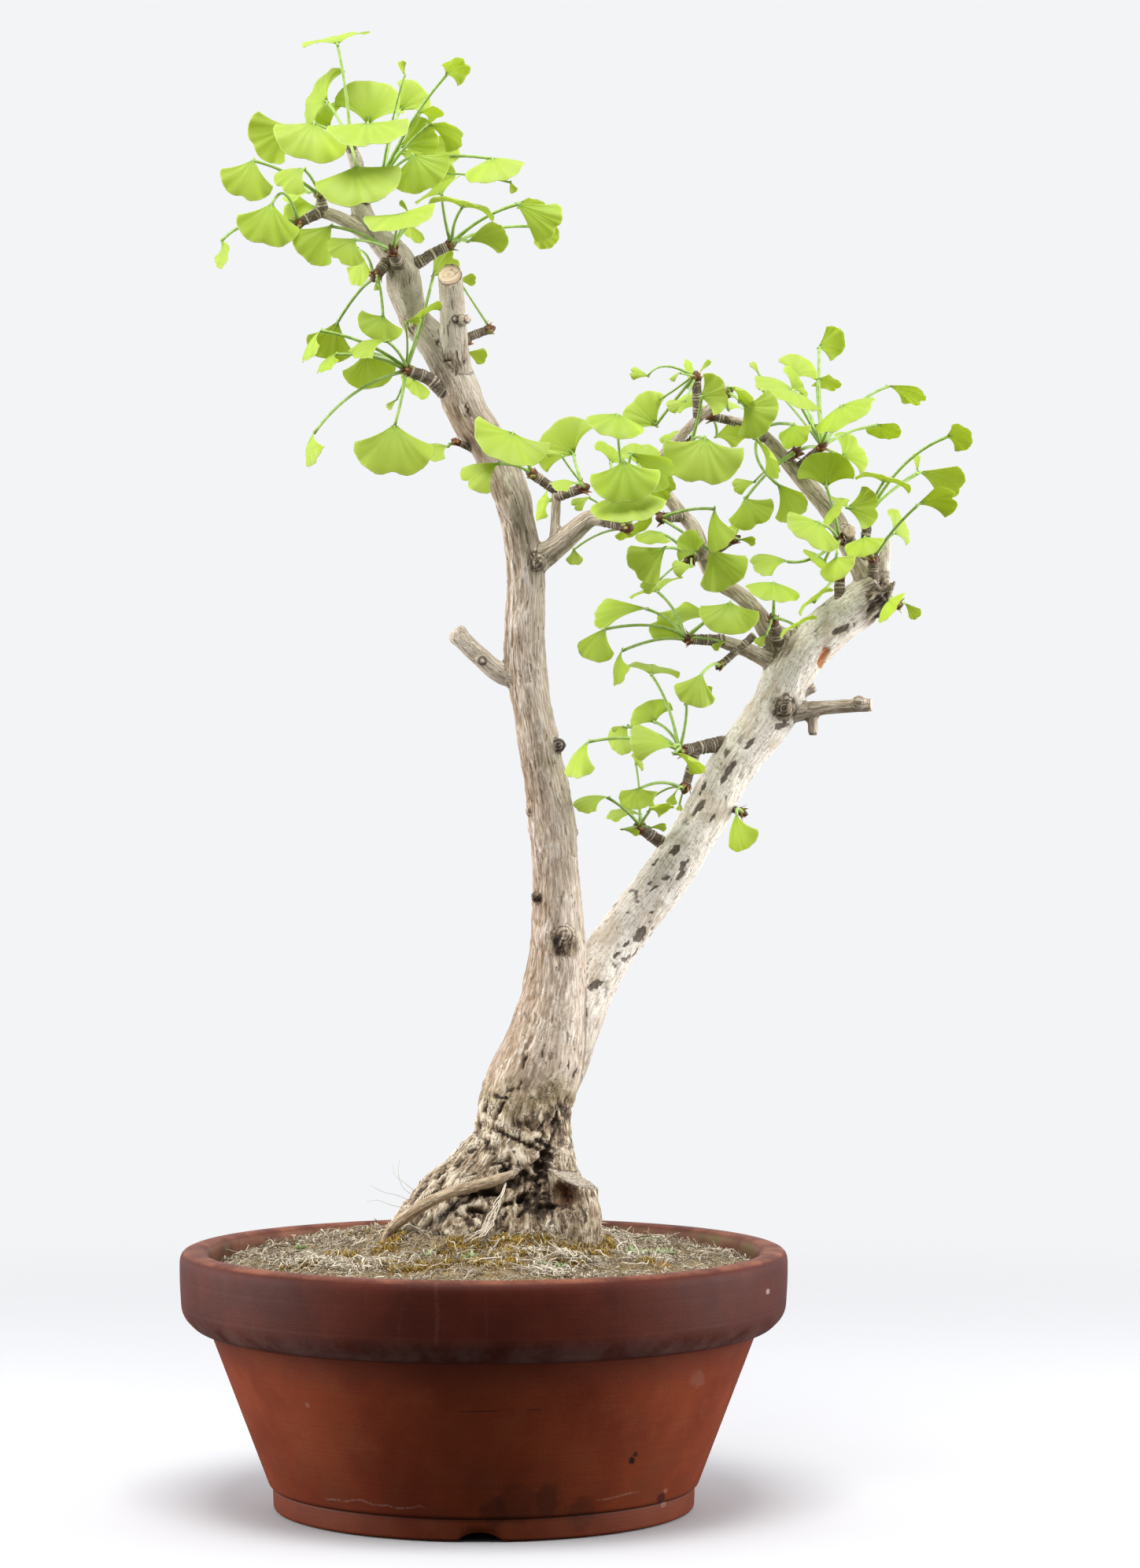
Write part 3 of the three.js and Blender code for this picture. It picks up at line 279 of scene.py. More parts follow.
class Value:
    """A node's output with arithmetic: each operator adds a Math node."""

    def __init__(self, finish, link):
        self.finish, self.link = finish, link

    def math(self, operation, *others, swapped=False):
        terms = (*others, self) if swapped else (self, *others)
        return self.finish.node("ShaderNodeMath", dict(operation=operation), dict(enumerate(terms)))

    def __add__(self, other):
        return self.math("ADD", other)

    def __sub__(self, other):
        return self.math("SUBTRACT", other)

    def __rsub__(self, other):
        return self.math("SUBTRACT", other, swapped=True)

    def __mul__(self, other):
        return self.math("MULTIPLY", other)

    def __pow__(self, other):
        return self.math("POWER", other)

    __radd__ = __add__
    __rmul__ = __mul__

    def sine(self):
        return self.math("SINE")

    def size(self):
        return self.math("ABSOLUTE")

    def most(self, other):
        return self.math("MAXIMUM", other)

    def between(self, low, high):
        """0 below `low`, 1 above `high`, smooth in between."""
        settings = dict(interpolation_type="SMOOTHSTEP")
        return self.finish.node("ShaderNodeMapRange", settings, {0: self, 1: low, 2: high})


class Finish:
    """A material in the making."""

    def __init__(self, name, library="materials"):
        self.material = getattr(bpy.data, library).new(name)
        self.material.use_nodes = True
        self.tree = self.material.node_tree
        self.tree.nodes.clear()

    def node(self, kind, settings=None, inputs=None, output=0):
        """A node of that type with its settings, a ramp's stops among them, and its sockets.
        A text stands for a colour."""
        made = self.tree.nodes.new(kind)
        for key, value in (settings or {}).items():
            if key == "stops":
                while len(made.color_ramp.elements) < len(value):
                    made.color_ramp.elements.new(0.5)
                for element, (place, colour) in zip(made.color_ramp.elements, value):
                    element.position, element.color = place, rgb(colour)
            else:
                setattr(made, key, value)
        for key, value in (inputs or {}).items():
            if isinstance(value, Value):
                self.tree.links.new(value.link, made.inputs[key])
            else:
                made.inputs[key].default_value = rgb(value) if isinstance(value, str) else value
        return Value(self, made.outputs[output])

    def place(self):
        """Object coordinates in millimetres round the pot's centre line."""
        raw = self.node("ShaderNodeTexCoord", output="Object")
        shifted = self.vector("SUBTRACT", raw, tuple(POT_MIDDLE))
        return self.scaled(shifted, 1 / MM)

    def vector(self, operation, *terms):
        return self.node("ShaderNodeVectorMath", dict(operation=operation), dict(enumerate(terms)))

    def scaled(self, vector, factor):
        return self.node("ShaderNodeVectorMath", dict(operation="SCALE"),
                         {0: vector, "Scale": factor})

    def attribute(self, name, output="Fac"):
        return self.node("ShaderNodeAttribute", dict(attribute_name=name), output=output)

    def axes(self, vector):
        """A vector's three parts as values."""
        outputs = self.node("ShaderNodeSeparateXYZ", inputs={0: vector}).link.node.outputs
        return tuple(Value(self, outputs[axis]) for axis in range(3))

    def joined(self, x, y, z):
        return self.node("ShaderNodeCombineXYZ", inputs={0: x, 1: y, 2: z})

    def noise(self, vector, scale, detail, rough=0.6):
        return self.node("ShaderNodeTexNoise", inputs={
            "Vector": vector, "Scale": scale, "Detail": detail, "Roughness": rough})

    def mix(self, share, first, second):
        """A colour between two."""
        return self.node("ShaderNodeMix", dict(data_type="RGBA"),
                         {0: share, 6: first, 7: second}, 2)

    def over(self, colour, *coats):
        """The colour with each coat, a share and a colour, laid over it in turn."""
        for share, coat in coats:
            colour = self.mix(share, colour, coat)
        return colour

    def bump(self, height, distance, strength):
        return self.node("ShaderNodeBump", inputs={
            "Height": height, "Distance": distance * MM, "Strength": strength})

    def lit_through(self, share, skin, light):
        """A thin skin that lets that share of the light through, in colour `light`."""
        through = self.node("ShaderNodeBsdfTranslucent", inputs={"Color": light})
        return self.node("ShaderNodeMixShader", inputs={0: share, 1: skin, 2: through})

    def principled(self, colour, roughness, normal=None, **constant):
        inputs = {"Base Color": colour, "Roughness": roughness}
        inputs.update({key.replace("_", " "): value for key, value in constant.items()})
        if normal is not None:
            inputs["Normal"] = normal
        return self.node("ShaderNodeBsdfPrincipled", inputs=inputs)

    def done(self, shader, kind="ShaderNodeOutputMaterial"):
        """The finished material, whose surface is `shader`."""
        surface = self.tree.nodes.new(kind)
        self.tree.links.new(shader.link, surface.inputs["Surface"])
        return self.material


def terracotta():
    """Fired clay: an orange-brown body, a darker weathered band and a lighter worn rim, with a
    pale bloom under the band, tide lines above the foot, chips, stains and a scratch. A painted
    shadow lies on the body under the band, and painted shade in the step above the foot and in
    the darkest chips."""
    f = Finish("terracotta")
    place = f.place()
    x, y, z = f.axes(place)
    radius = (x * x + y * y) ** 0.5
    cloud = f.noise(place, 0.016, 4)
    patch = f.noise(place, 0.045, 5, 0.62)
    fine = f.noise(place, 0.6, 4)
    speck = f.noise(place, 1.6, 2, 0.5)
    turned = f.noise(f.joined(radius * 0.02, x * 0.001, z * 0.55), 1.0, 3)
    front = 1 - y.between(-60, -50)

    body = f.over(
        f.mix(cloud.between(0.3, 0.7), "6e2811", "843a1c"),
        (patch.between(0.45, 0.8) * 0.4, "8c4b2d"),
        ((1 - z.between(10, 70)) * patch.between(0.35, 0.7) * 0.5, "562816"),
        # The top of the body, under the band's overhang, darker: painted shadow of the band.
        (z.between(82, BODY_TOP - 1.5) * 0.55, "542519"),
        (turned.between(0.52, 0.75) * 0.22, "5c2b1d"))
    bloom = (1 - z.between(108, 123)) * z.between(104.8, 107.5) * patch.between(0.3, 0.62)
    bloom = bloom * (0.55 + fine * 0.7)
    streak = f.noise(f.joined(x * 0.09, y * 0.09, z * 0.006), 1.0, 3).between(0.62, 0.74)
    band = f.over(
        f.mix(cloud.between(0.3, 0.68), "41150a", "531f10"),
        (patch.between(0.5, 0.8) * 0.4, "642b1a"), (bloom * 0.32, "8d7570"),
        (streak * 0.07, "93776d"))
    rim = f.over(f.mix(patch.between(0.3, 0.7), "5c3023", "7d4a36"),
                 (fine.between(0.5, 0.7) * 0.4, "8c634d"))
    inner = f.over(f.mix(patch.between(0.35, 0.65), "5f3a2b", "7d5440"),
                   (f.noise(place, 0.03, 4).between(0.48, 0.64) * 0.6, "5c5a36"))
    worn = z.between(POT_HEIGHT - 2.4, POT_HEIGHT - 0.6)
    worn = worn * (0.35 + 0.65 * patch.between(0.3, 0.6))
    inside = 1 - radius.between(RIM_INNER_RADIUS + 0.6, RIM_INNER_RADIUS + 3)
    foot = 1 - z.between(FOOT_HEIGHT - 0.3, FOOT_HEIGHT + 0.4)
    # A dark line in the step above the foot, under the body's overhang: painted shade.
    groove_shade = 1 - (z - (FOOT_HEIGHT + 0.5)).size().between(0.3, 1.0)

    level = f.noise(f.joined(x * 0.035, 0.0, 0.0), 1.0, 3) * 13 + 13
    tide = 1 - (z - level).size().between(0.2, 0.9)
    tide = tide * x.between(-92, -84) * (1 - x.between(-36, -28))
    second = 1 - (z - 22.5 - (x * 0.16).sine()).size().between(0.2, 0.8)
    tide = tide.most(second * x.between(64, 70) * (1 - x.between(86, 92)))
    scratch = 1 - (z - SCRATCH_HEIGHT - (x * 0.05).sine() * 0.5).size().between(0.15, 0.5)
    scratch = scratch * x.between(-14, -7) * (1 - x.between(40, 48)) * front
    run = 1 - (x + 22.6 - (z * 0.2).sine() * 0.4).size().between(0.3, 2.0)
    run = run * z.between(114, 122) * front * fine.between(0.3, 0.6)

    colour = f.over(
        f.mix(z.between(BODY_TOP - 0.7, BODY_TOP + 0.7), body, band),
        (worn, rim), (inside * z.between(108, 112), inner),
        (foot * 0.5, f.mix(patch.between(0.3, 0.7), "552614", "723820")),
        # painted shade in the step above the foot
        (groove_shade * 0.8, "33170f"),
        (speck.between(0.7, 0.78) * 0.35, "a9745c"), (fine.between(0.62, 0.75) * 0.3, "43211a"),
        (tide * front * fine.between(0.35, 0.55) * 0.26, "b59d93"))
    ragged = (f.noise(place, 0.22, 3, 0.65) - 0.5) * 9
    # Chips coloured near black are painted shade in their pits; the others are the pot's own marks.
    for (chip_x, chip_z), reach, tint, strength in POT_CHIPS:
        across, upward = x - chip_x, z - chip_z
        away = (across * across + upward * upward * 0.6) ** 0.5 + ragged * min(1, reach / 6)
        chip = (1 - away.between(reach * 0.55, reach)) * front
        colour = f.mix(chip * strength, colour, tint)
    colour = f.over(
        colour, (scratch * f.noise(place, 0.12, 2, 0.5).between(0.4, 0.6) * 0.7, "2a130d"),
        (run * 0.05, "a98f84"))

    rough = 0.5 + patch * 0.2 + bloom * 0.15
    relief = fine * 0.35 + speck * 0.12 + turned * 0.5
    return f.done(f.principled(colour, rough, f.bump(relief, 0.5, 0.55), Specular_IOR_Level=0.16))


# Chips and stains on the front of the pot: place x, z, reach, colour and strength. The
# near-black and darkest brown small chips are painted shade in their pits.
POT_CHIPS = [
    ((86, 43.5), 2.3, "1d0f0b", 0.95), ((88, 47), 1.6, "1d0f0b", 0.8),
    ((103, 17), 3.4, "3a1812", 0.85), ((106, 21), 1.6, "a5887e", 0.35),
    ((105, 12), 1.8, "a5887e", 0.3), ((165, 135), 1.6, "bfa79f", 0.5),
    ((-98, 76), 1.8, "94705e", 0.5), ((20, 22), 13, "2c1610", 0.32),
    ((38, 24), 9, "2c1610", 0.4), ((8, 17), 9, "2c1610", 0.4),
    ((58, 14), 10, "2e1a12", 0.35), ((124, 88), 5, "9c7d6f", 0.15),
]
SCRATCH_HEIGHT = 77.7


def bark():
    """Pale fibrous bark: cream ridges and brown furrows drawn out along the limb, wider and
    more crooked at the foot, black cracks, a smoother tan root, lichen on the right trunk,
    sawn faces and an orange wound. The ridges' cream and the furrows' brown are partly the
    bark's own tones and partly painted highlight and painted shade; the black in the cracks,
    dents, crease and hollow is painted shade; one side of each limb holds painted shade in
    streaks and the other painted light."""
    f = Finish("bark")
    grain = f.attribute("grain", "Vector")
    place = f.place()
    relief, crack, foot, sawn, rings = (
        f.attribute(name) for name in ("relief", "crack", "foot", "sawn", "ring"))
    swerve = f.node("ShaderNodeTexNoise", inputs={"Vector": place, "Scale": 0.09, "Detail": 2.0},
                    output="Color")

    def drawn_out(stretch, swing, salt, detail=3.0):
        """Noise drawn out along the grain and bent aside a little."""
        bent = f.vector("ADD", f.vector("MULTIPLY", grain, stretch), f.scaled(swerve, swing))
        return f.noise(f.vector("ADD", bent, (salt, salt, salt)), 1.0, detail)

    fibre = drawn_out((0.12, 1.05, 1.05), 2.2, 3.7)
    strand = drawn_out((0.075, 0.55, 0.55), 1.5, 9.1)
    fold = drawn_out((0.15, 0.46, 0.46), 2.8, 21.3)
    slit = 1 - drawn_out((0.09, 0.48, 0.48), 2.0, 33.9).between(0.34, 0.40)
    fleck = f.noise(place, 0.55, 4, 0.65)
    cloud = f.noise(place, 0.045, 3, 0.55)
    ridge = strand * 0.4 + fibre * 0.6

    # One side of each limb darker in long streaks, a stain together with painted shade, and the
    # other side paler: painted light.
    shaded_side = f.axes(grain)[2].between(-9, 9)
    stain_and_shade = drawn_out((0.012, 0.11, 0.11), 0.8, 47.3, 2.0).between(0.40, 0.60)
    smooth = f.mix((cloud + fleck * 0.5).between(0.6, 0.9), "a99e88", "dfd8c8")
    # From furrow brown to ridge cream by the bump's and the relief's height: the bark's own tones,
    # with painted shade in the furrows and painted highlight on the ridges.
    colour = f.over(
        f.node("ShaderNodeValToRGB", dict(stops=[
            (0.37, "5f4936"), (0.44, "8f7961"), (0.50, "b6a28b"), (0.58, "e2d8cb")]),
            {0: ridge * 0.8 + relief * 0.2}),
        # one side darker in streaks and the other paler: painted shade and painted light
        (stain_and_shade * shaded_side * 0.6, "866b50"), ((1 - shaded_side) * 0.4, "cdc2b4"),
        (f.attribute("smooth") * 0.65, smooth),
        (cloud.between(0.42, 0.66) * 0.25, "907c64"), (slit * 0.7, "5b4733"))

    pale = f.over(
        f.mix((ridge * 0.6 + fleck * 0.4).between(0.38, 0.54), "c8b8a3", "fff9ee"),
        (f.noise(place, 0.12, 4).between(0.52, 0.66) * 0.35, "c3bc9f"),
        (f.noise(place, 0.05, 3).between(0.52, 0.62) * 0.4, "cdb491"),
        (f.noise(place, 0.33, 4, 0.7).between(0.55, 0.66) * 0.5, "937e62"))

    fissure = 1 - (drawn_out((0.13, 0.40, 0.40), 3.0, 61.7, 2.0) - 0.5).size().between(0.004, 0.022)
    fissure = fissure * f.noise(place, 0.09, 3).between(0.42, 0.56)
    # The old bark's tones also follow the height of its folds: painted shade low and painted
    # highlight high, over its own colours.
    old = f.over(
        f.node("ShaderNodeValToRGB", dict(stops=[
            (0.36, "3b2b1c"), (0.43, "7d6850"), (0.49, "a9977d"), (0.57, "d6cab4")]),
            {0: fold * 0.4 + fibre * 0.35 + relief * 0.25}),
        (cloud.between(0.45, 0.7) * 0.35, "8c7857"), (slit * 0.85, "35271a"),
        (fissure * 0.9, "2c1f14"))
    # Paler on the folds and darker where the fibres are low: painted highlight and painted shade
    # over the skin's own colour.
    skin = f.over(
        f.mix(fleck.between(0.3, 0.7), "7a6a48", "a3926f"),
        (fold.between(0.5, 0.62) * 0.6, "c8bc9f"), (fibre.between(0.46, 0.36) * 0.5, "5a4830"),
        (fissure * 0.8, "3a2c1b"))
    root = f.mix(fibre.between(0.35, 0.65), "8f7659", "c4b093")
    shoot = f.mix(fibre.between(0.4, 0.6), "9f8e77", "dccfbc")
    scar = (f.attribute("scar") + (fleck - 0.5) * 0.6).between(0.2, 0.8)
    colour = f.over(
        colour, (f.attribute("lichen") * 0.88, pale), (foot, old),
        (f.attribute("skin") * 0.85, skin), (f.attribute("root"), root),
        (f.attribute("twig") * 0.75, shoot),
        (scar * 0.9, f.mix(fleck.between(0.35, 0.6), "281e16", "5d4b3a")),
        # Near black in the cracks, dents, crease and hollow: painted shade, with the knots' own
        # dark tone.
        ((crack + (fleck - 0.5) * 0.35).between(0.18, 0.8),
         f.mix(fleck.between(0.35, 0.65), "1d140d", "4a3727")))

    check = 1 - (f.noise(place, 0.10, 2, 0.4) - 0.5).size().between(0.003, 0.013)
    year = (rings * 2.2 + cloud * 16 + fleck * 2).sine().between(-0.6, 1.0)
    cut = f.over(
        f.mix(year, "e3c9ae", "efdac4"),
        (fleck.between(0.55, 0.75) * 0.5, "b48b64"),
        ((1 - rings.between(0.3, 1.0)) * 0.6, "9a6b45"),
        (check * 0.75, "7a4c2c"), (rings.between(5.6, 7.4) * 0.55, "b98d72"))
    grey = f.mix(fleck.between(0.38, 0.62), "665a49", "aea493")
    rind = sawn.between(0.08, 0.3) * (1 - sawn.between(0.45, 0.8))
    colour = f.over(
        colour, (sawn.between(0.35, 0.7), f.mix(f.attribute("fresh"), grey, cut)),
        (rind * 0.7, "4d3826"),
        (f.attribute("wound"), f.mix(fibre.between(0.4, 0.6), "8a4722", "d08c52")),
        # the hollow under the sawn root: its own brown wood darkened with painted shade
        (f.attribute("hollow"), f.mix(fleck.between(0.35, 0.65), "2a170e", "8d6040")))

    body = (ridge * 2.6 - slit * 0.3) * (1 - foot)
    body = body + foot * (fold * 2.0 + fibre * 1.8 - slit * 0.7 - fissure * 0.9)
    normal = f.bump(body * (1 - sawn * 0.9) + fleck * 0.25, 0.8, 0.9)
    return f.done(f.principled(colour, 0.74 + fleck * 0.16, normal))


def spur_bark():
    """The ringed bark of a spur: dark between the rings and greyer on them, the spur's own banding
    with painted shade in the grooves and painted highlight on the raised rings.
    """
    f = Finish("spur_bark")
    ring = f.attribute("ring")
    fleck = f.noise(f.place(), 1.1, 4, 0.65)
    dark = f.mix(fleck.between(0.35, 0.65), "483b30", "857664")
    pale = f.mix(fleck.between(0.35, 0.65), "a0927e", "d6cab6")
    # Dark between the rings and pale on them: the spur's banding with painted shade and painted
    # highlight.
    colour = f.mix(ring.between(0.26, 0.72), dark, pale)
    return f.done(f.principled(colour, 0.8, f.bump(fleck, 0.5, 0.7)))


def bud_scale():
    """Papery bud scales, red-brown at the foot and tan at the edge."""
    f = Finish("bud_scale")
    _, along, _ = f.axes(f.attribute("blade", "Vector"))
    fleck = f.noise(f.place(), 1.3, 3)
    colour = f.over(f.mix(along.between(0.2, 0.95), "5a3320", "b98a4e"),
                    (fleck.between(0.5, 0.7) * 0.5, "8f3f22"),
                    (f.attribute("young") * 0.8, "a9b84e"))
    return f.done(f.principled(colour, 0.6, f.bump(fleck, 0.3, 0.4)))


def leaf():
    """A thin fan leaf: yellow-green, paler along the edge, with veins that fork outwards
    from the foot and shallow pleats between them, light passing through it."""
    f = Finish("leaf")
    across, along, _ = f.axes(f.attribute("blade", "Vector"))
    tint, spread, pleat = (f.attribute(name) for name in ("tint", "spread", "pleat"))
    warp = f.noise(f.place(), 0.05, 2, 0.5) * 0.5
    inner = (across * spread + warp).sine().size()
    outer = (across * spread * 2.0 + warp).sine().size()
    share = along.between(0.42, 0.55)
    vein = (inner * (1 - share) + outer * share).between(0.0, 0.55)
    ray = (across * spread * 0.42 + tint * 20).sine() * 0.5 + 0.5
    patch = f.noise(f.place(), 0.05, 3, 0.5)
    edge = along.between(0.955, 0.99).most(across.size().between(0.965, 0.995))
    colour = f.over(
        f.mix(tint, "afcb45", "c9dc6c"),
        (patch.between(0.3, 0.7) * 0.35, "b9d262"), ((1 - along.between(0.0, 0.5)) * 0.4, "9ac45a"),
        # Lighter on the pleats' crests and along the rays that the bump raises: painted highlight
        # on the folds.
        (pleat.between(0.55, 1.0) * 0.25, "cede74"),
        (ray * along.between(0.1, 0.5) * 0.22, "d3e17c"),
        ((1 - vein) * 0.16, "d8e68a"), (edge * 0.6, "e3eb98"))
    fine = f.noise(f.place(), 1.6, 3, 0.5)
    normal = f.bump(ray * 0.8 + vein * 0.3 + fine * 0.15, 0.35, 0.7)
    skin = f.principled(colour, 0.42, normal, Specular_IOR_Level=0.35)
    return f.done(f.lit_through(0.52, skin, "d7e452"))


def stalk():
    """Smooth pale green stalks, a little darker where they enter the bud."""
    f = Finish("stalk")
    fine = f.noise(f.place(), 0.3, 3, 0.5)
    colour = f.over(f.mix(fine.between(0.3, 0.7), "94b652", "b4cf78"),
                    ((1 - f.attribute("along").between(0.0, 0.3)) * 0.5, "7c9c42"))
    return f.done(f.lit_through(0.2, f.principled(colour, 0.45), "b9cf5c"))


def plain(name, dark, light, roughness, scale, through=None):
    """A fibre finish: two colours by a draw for each strand and a fine noise."""
    f = Finish(name)
    fine = f.noise(f.place(), scale, 3)
    tone = (f.attribute("tone") * 0.8 + fine * 0.4 - 0.1).between(0.0, 1.0)
    shader = f.principled(f.mix(tone, dark, light), roughness, f.bump(fine, 0.3, 0.5))
    return f.done(f.lit_through(0.25, shader, through) if through else shader)


def crumb():
    """The soil between the strands: dark brown crumbs, golden where the moss grows."""
    f = Finish("crumb")
    place = f.place()
    grain = f.node("ShaderNodeTexVoronoi", inputs={"Vector": place, "Scale": 0.45},
                   output="Distance")
    fine = f.noise(place, 0.5, 5, 0.65)
    colour = f.over(
        f.mix(fine.between(0.38, 0.58), "3a2c1e", "8d7a5a"),
        (f.noise(place, 0.9, 3, 0.7).between(0.5, 0.62) * 0.6, "c2b28f"),
        (f.noise(place, 0.07, 3).between(0.5, 0.62) * 0.5, "8a6c2e"),
        (f.attribute("moss") * fine.between(0.3, 0.5), "86621f"))
    return f.done(f.principled(colour, 0.9, f.bump(fine + grain * 0.5, 1.2, 0.9)))


def woven_plastic():
    """Black moulded plastic, slightly dusty."""
    f = Finish("drain_mesh_plastic")
    dust = f.noise(f.place(), 0.3, 4)
    colour = f.mix(dust.between(0.5, 0.7) * 0.5, "1c1e21", "4a4036")
    return f.done(f.principled(colour, 0.45 + dust * 0.3, f.bump(dust, 0.2, 0.4)))


def studio_floor():
    """A pale matt floor that thins out into the plain background and throws little light up."""
    f = Finish("studio_floor")
    x, y, _ = f.axes(f.place())
    thin = ((x * x + y * y) ** 0.5).between(420, 1600)
    seen = f.node("ShaderNodeLightPath", output="Is Camera Ray")
    skin = f.principled(f.mix(seen, "4a4a4b", "c4c4c6"), 0.8)
    clear = f.node("ShaderNodeBsdfTransparent")
    return f.done(f.node("ShaderNodeMixShader", inputs={0: thin, 1: skin, 2: clear}))


BACK_LIGHT = 1.0
FRONT_LIGHT = 0.13
TOP_LIGHT = 0.25


def studio_air():
    """A plain pale background, and soft light from behind and above with little from the
    front, as in front of a white wall."""
    f = Finish("studio_air", "worlds")
    _, y, z = f.axes(f.node("ShaderNodeTexCoord", output="Generated"))
    level = y.between(-0.3, 0.5) * (BACK_LIGHT - FRONT_LIGHT) + FRONT_LIGHT
    level = level + z.between(0.2, 0.9) * TOP_LIGHT
    light = f.node("ShaderNodeBackground", inputs={"Color": "fafbff", "Strength": level})
    shown = f.node("ShaderNodeBackground", inputs={"Color": "f3f4f6", "Strength": 1.0})
    seen = f.node("ShaderNodeLightPath", output="Is Camera Ray")
    mixed = f.node("ShaderNodeMixShader", inputs={0: seen, 1: light, 2: shown})
    return f.done(mixed, "ShaderNodeOutputWorld")


# ------------------------------------------------------------------------------- the pot

POT_HEIGHT = 153.0
RIM_RADIUS = 180.0
RIM_INNER_RADIUS = 163.0
BAND_FOOT = 118.0
BODY_TOP = 105.5
BODY_TOP_RADIUS = 162.0
BODY_FOOT_RADIUS = 126.4
FOOT_RADIUS = 124.6
FOOT_HEIGHT = 12.5
FOOT_RING_WIDTH = 12.0
UNDERSIDE_RECESS = 7.0
FLOOR_TOP = 19.0
WALL = 12.0
DRAIN_RADIUS = 16.0
NOTCH_TURNS = (-90.0, 30.0, 150.0)
NOTCH_WIDTH = 27.0
NOTCH_HEIGHT = 5.5
POT_TURNS = 240
POT_ANGLES = 2 * np.pi * np.arange(POT_TURNS) / POT_TURNS


def wall_at(z):
    """Outer radius of the pot's body at height z."""
    share = (z - FOOT_HEIGHT) / (BODY_TOP - FOOT_HEIGHT)
    return BODY_FOOT_RADIUS + (BODY_TOP_RADIUS - BODY_FOOT_RADIUS) * share


def rounded(corners, steps=6):
    """A closed outline whose corners (r, z, fillet) are each replaced by the arc of a
    quadratic curve that starts and ends one fillet away, or nearly half a side."""
    corners = np.asarray(corners, float)
    here = corners[:, :2]
    before, after = np.roll(here, 1, axis=0) - here, np.roll(here, -1, axis=0) - here
    room = 0.47 * np.minimum(np.linalg.norm(before, axis=1), np.linalg.norm(after, axis=1))
    fillet = np.minimum(corners[:, 2], room)[:, None]
    start, end = here + unit(before) * fillet, here + unit(after) * fillet
    t = np.linspace(0, 1, steps)[None, :, None]
    return ((1 - t) ** 2 * start[:, None] + 2 * t * (1 - t) * here[:, None]
            + t ** 2 * end[:, None]).reshape(-1, 2)


def lathe(outline):
    """A closed outline (r, z) carried round the pot's centre line."""
    rings = np.stack([outline[:, :1] * np.cos(POT_ANGLES), outline[:, :1] * np.sin(POT_ANGLES),
                      np.broadcast_to(outline[:, 1:], (len(outline), POT_TURNS))], -1)
    faces = grid_faces(len(outline) + 1, POT_TURNS, closed=True) % (len(outline) * POT_TURNS)
    return rings, faces


def make_pot():
    """The pot's outline turned round, with three lens-shaped notches lifted into its foot."""
    foot_inner = FOOT_RADIUS - FOOT_RING_WIDTH
    outline = rounded([
        (foot_inner + 1.5, 0, 1), (FOOT_RADIUS, 0, 2.4), (FOOT_RADIUS + 0.4, 12, 0.7),
        (FOOT_RADIUS + 0.1, 12.9, 0.3), (wall_at(14.4), 14.4, 1.2),
        (wall_at(45), 45, 5), (wall_at(75), 75, 5), (BODY_TOP_RADIUS, BODY_TOP, 1.2),
        (BODY_TOP_RADIUS + 8, BODY_TOP + 1.4, 3.5), (RIM_RADIUS - 1.2, BAND_FOOT - 2.5, 7),
        (RIM_RADIUS, 136, 6), (RIM_RADIUS, POT_HEIGHT, 7), (RIM_INNER_RADIUS, POT_HEIGHT, 7),
        (RIM_INNER_RADIUS, BAND_FOOT + 6, 3), (wall_at(BODY_TOP - 4) - WALL, BODY_TOP - 4, 4),
        (wall_at(FLOOR_TOP) - WALL, FLOOR_TOP + 4.5, 3),
        (wall_at(FLOOR_TOP) - WALL - 4, FLOOR_TOP, 2), (DRAIN_RADIUS, FLOOR_TOP, 1.5),
        (DRAIN_RADIUS, UNDERSIDE_RECESS, 1.5), (foot_inner - 1, UNDERSIDE_RECESS, 1.5)])
    rings, faces = lathe(outline)
    angle = np.arctan2(rings[..., 1], rings[..., 0])
    lift = np.zeros(angle.shape)
    for turn in NOTCH_TURNS:
        aside = (angle - math.radians(turn) + np.pi) % (2 * np.pi) - np.pi
        share = np.abs(aside) * FOOT_RADIUS / (NOTCH_WIDTH / 2)
        lift = np.maximum(lift, NOTCH_HEIGHT * np.clip(1 - share ** 2.4, 0, 1))
    in_foot = np.hypot(rings[..., 0], rings[..., 1]) > foot_inner
    rings[..., 2] = np.where(in_foot, np.maximum(rings[..., 2], lift), rings[..., 2])
    shell = Shell()
    shell.add(rings, [faces])
    shell.piece("pot_body", terracotta(), "terracotta", "pot")


# ----------------------------------------------------------------- the tree's driving lines

# Each limb is a list of stations [x, depth, z, radius], x and z as `lined` takes them.
LEFT_TRUNK = [
    [23, 0, 205, 30], [25, 0, 240, 27.5], [33, 0, 263, 26],
    [38.5, 0, 286, 22], [42, 0, 310, 18], [43.6, 0, 333, 16.4],
    [42.3, 0, 380, 13.8], [40.8, 0, 400, 13.7], [34.5, -2, 440, 12.5],
    [27.5, -4, 480, 11.7], [24.6, -4, 500, 12.2], [24.3, -4, 520, 11.8], [25, -3, 550, 11],
    [21, -2, 580, 10.3], [15.5, -1, 600, 11], [2.5, 0, 630, 11.5],
    [-10.5, 0, 650, 12], [-18, 0, 670, 11.5], [-28, 1, 688, 10.5], [-40, 2, 703, 9],
    [-46.5, 2, 720, 10], [-50, 2, 737, 9.5], [-60, 1, 750, 8], [-72, 0, 765, 6.5],
    [-75, 0, 780, 5], [-76, 0, 797, 4], [-79, -1, 806, 3.5],
]
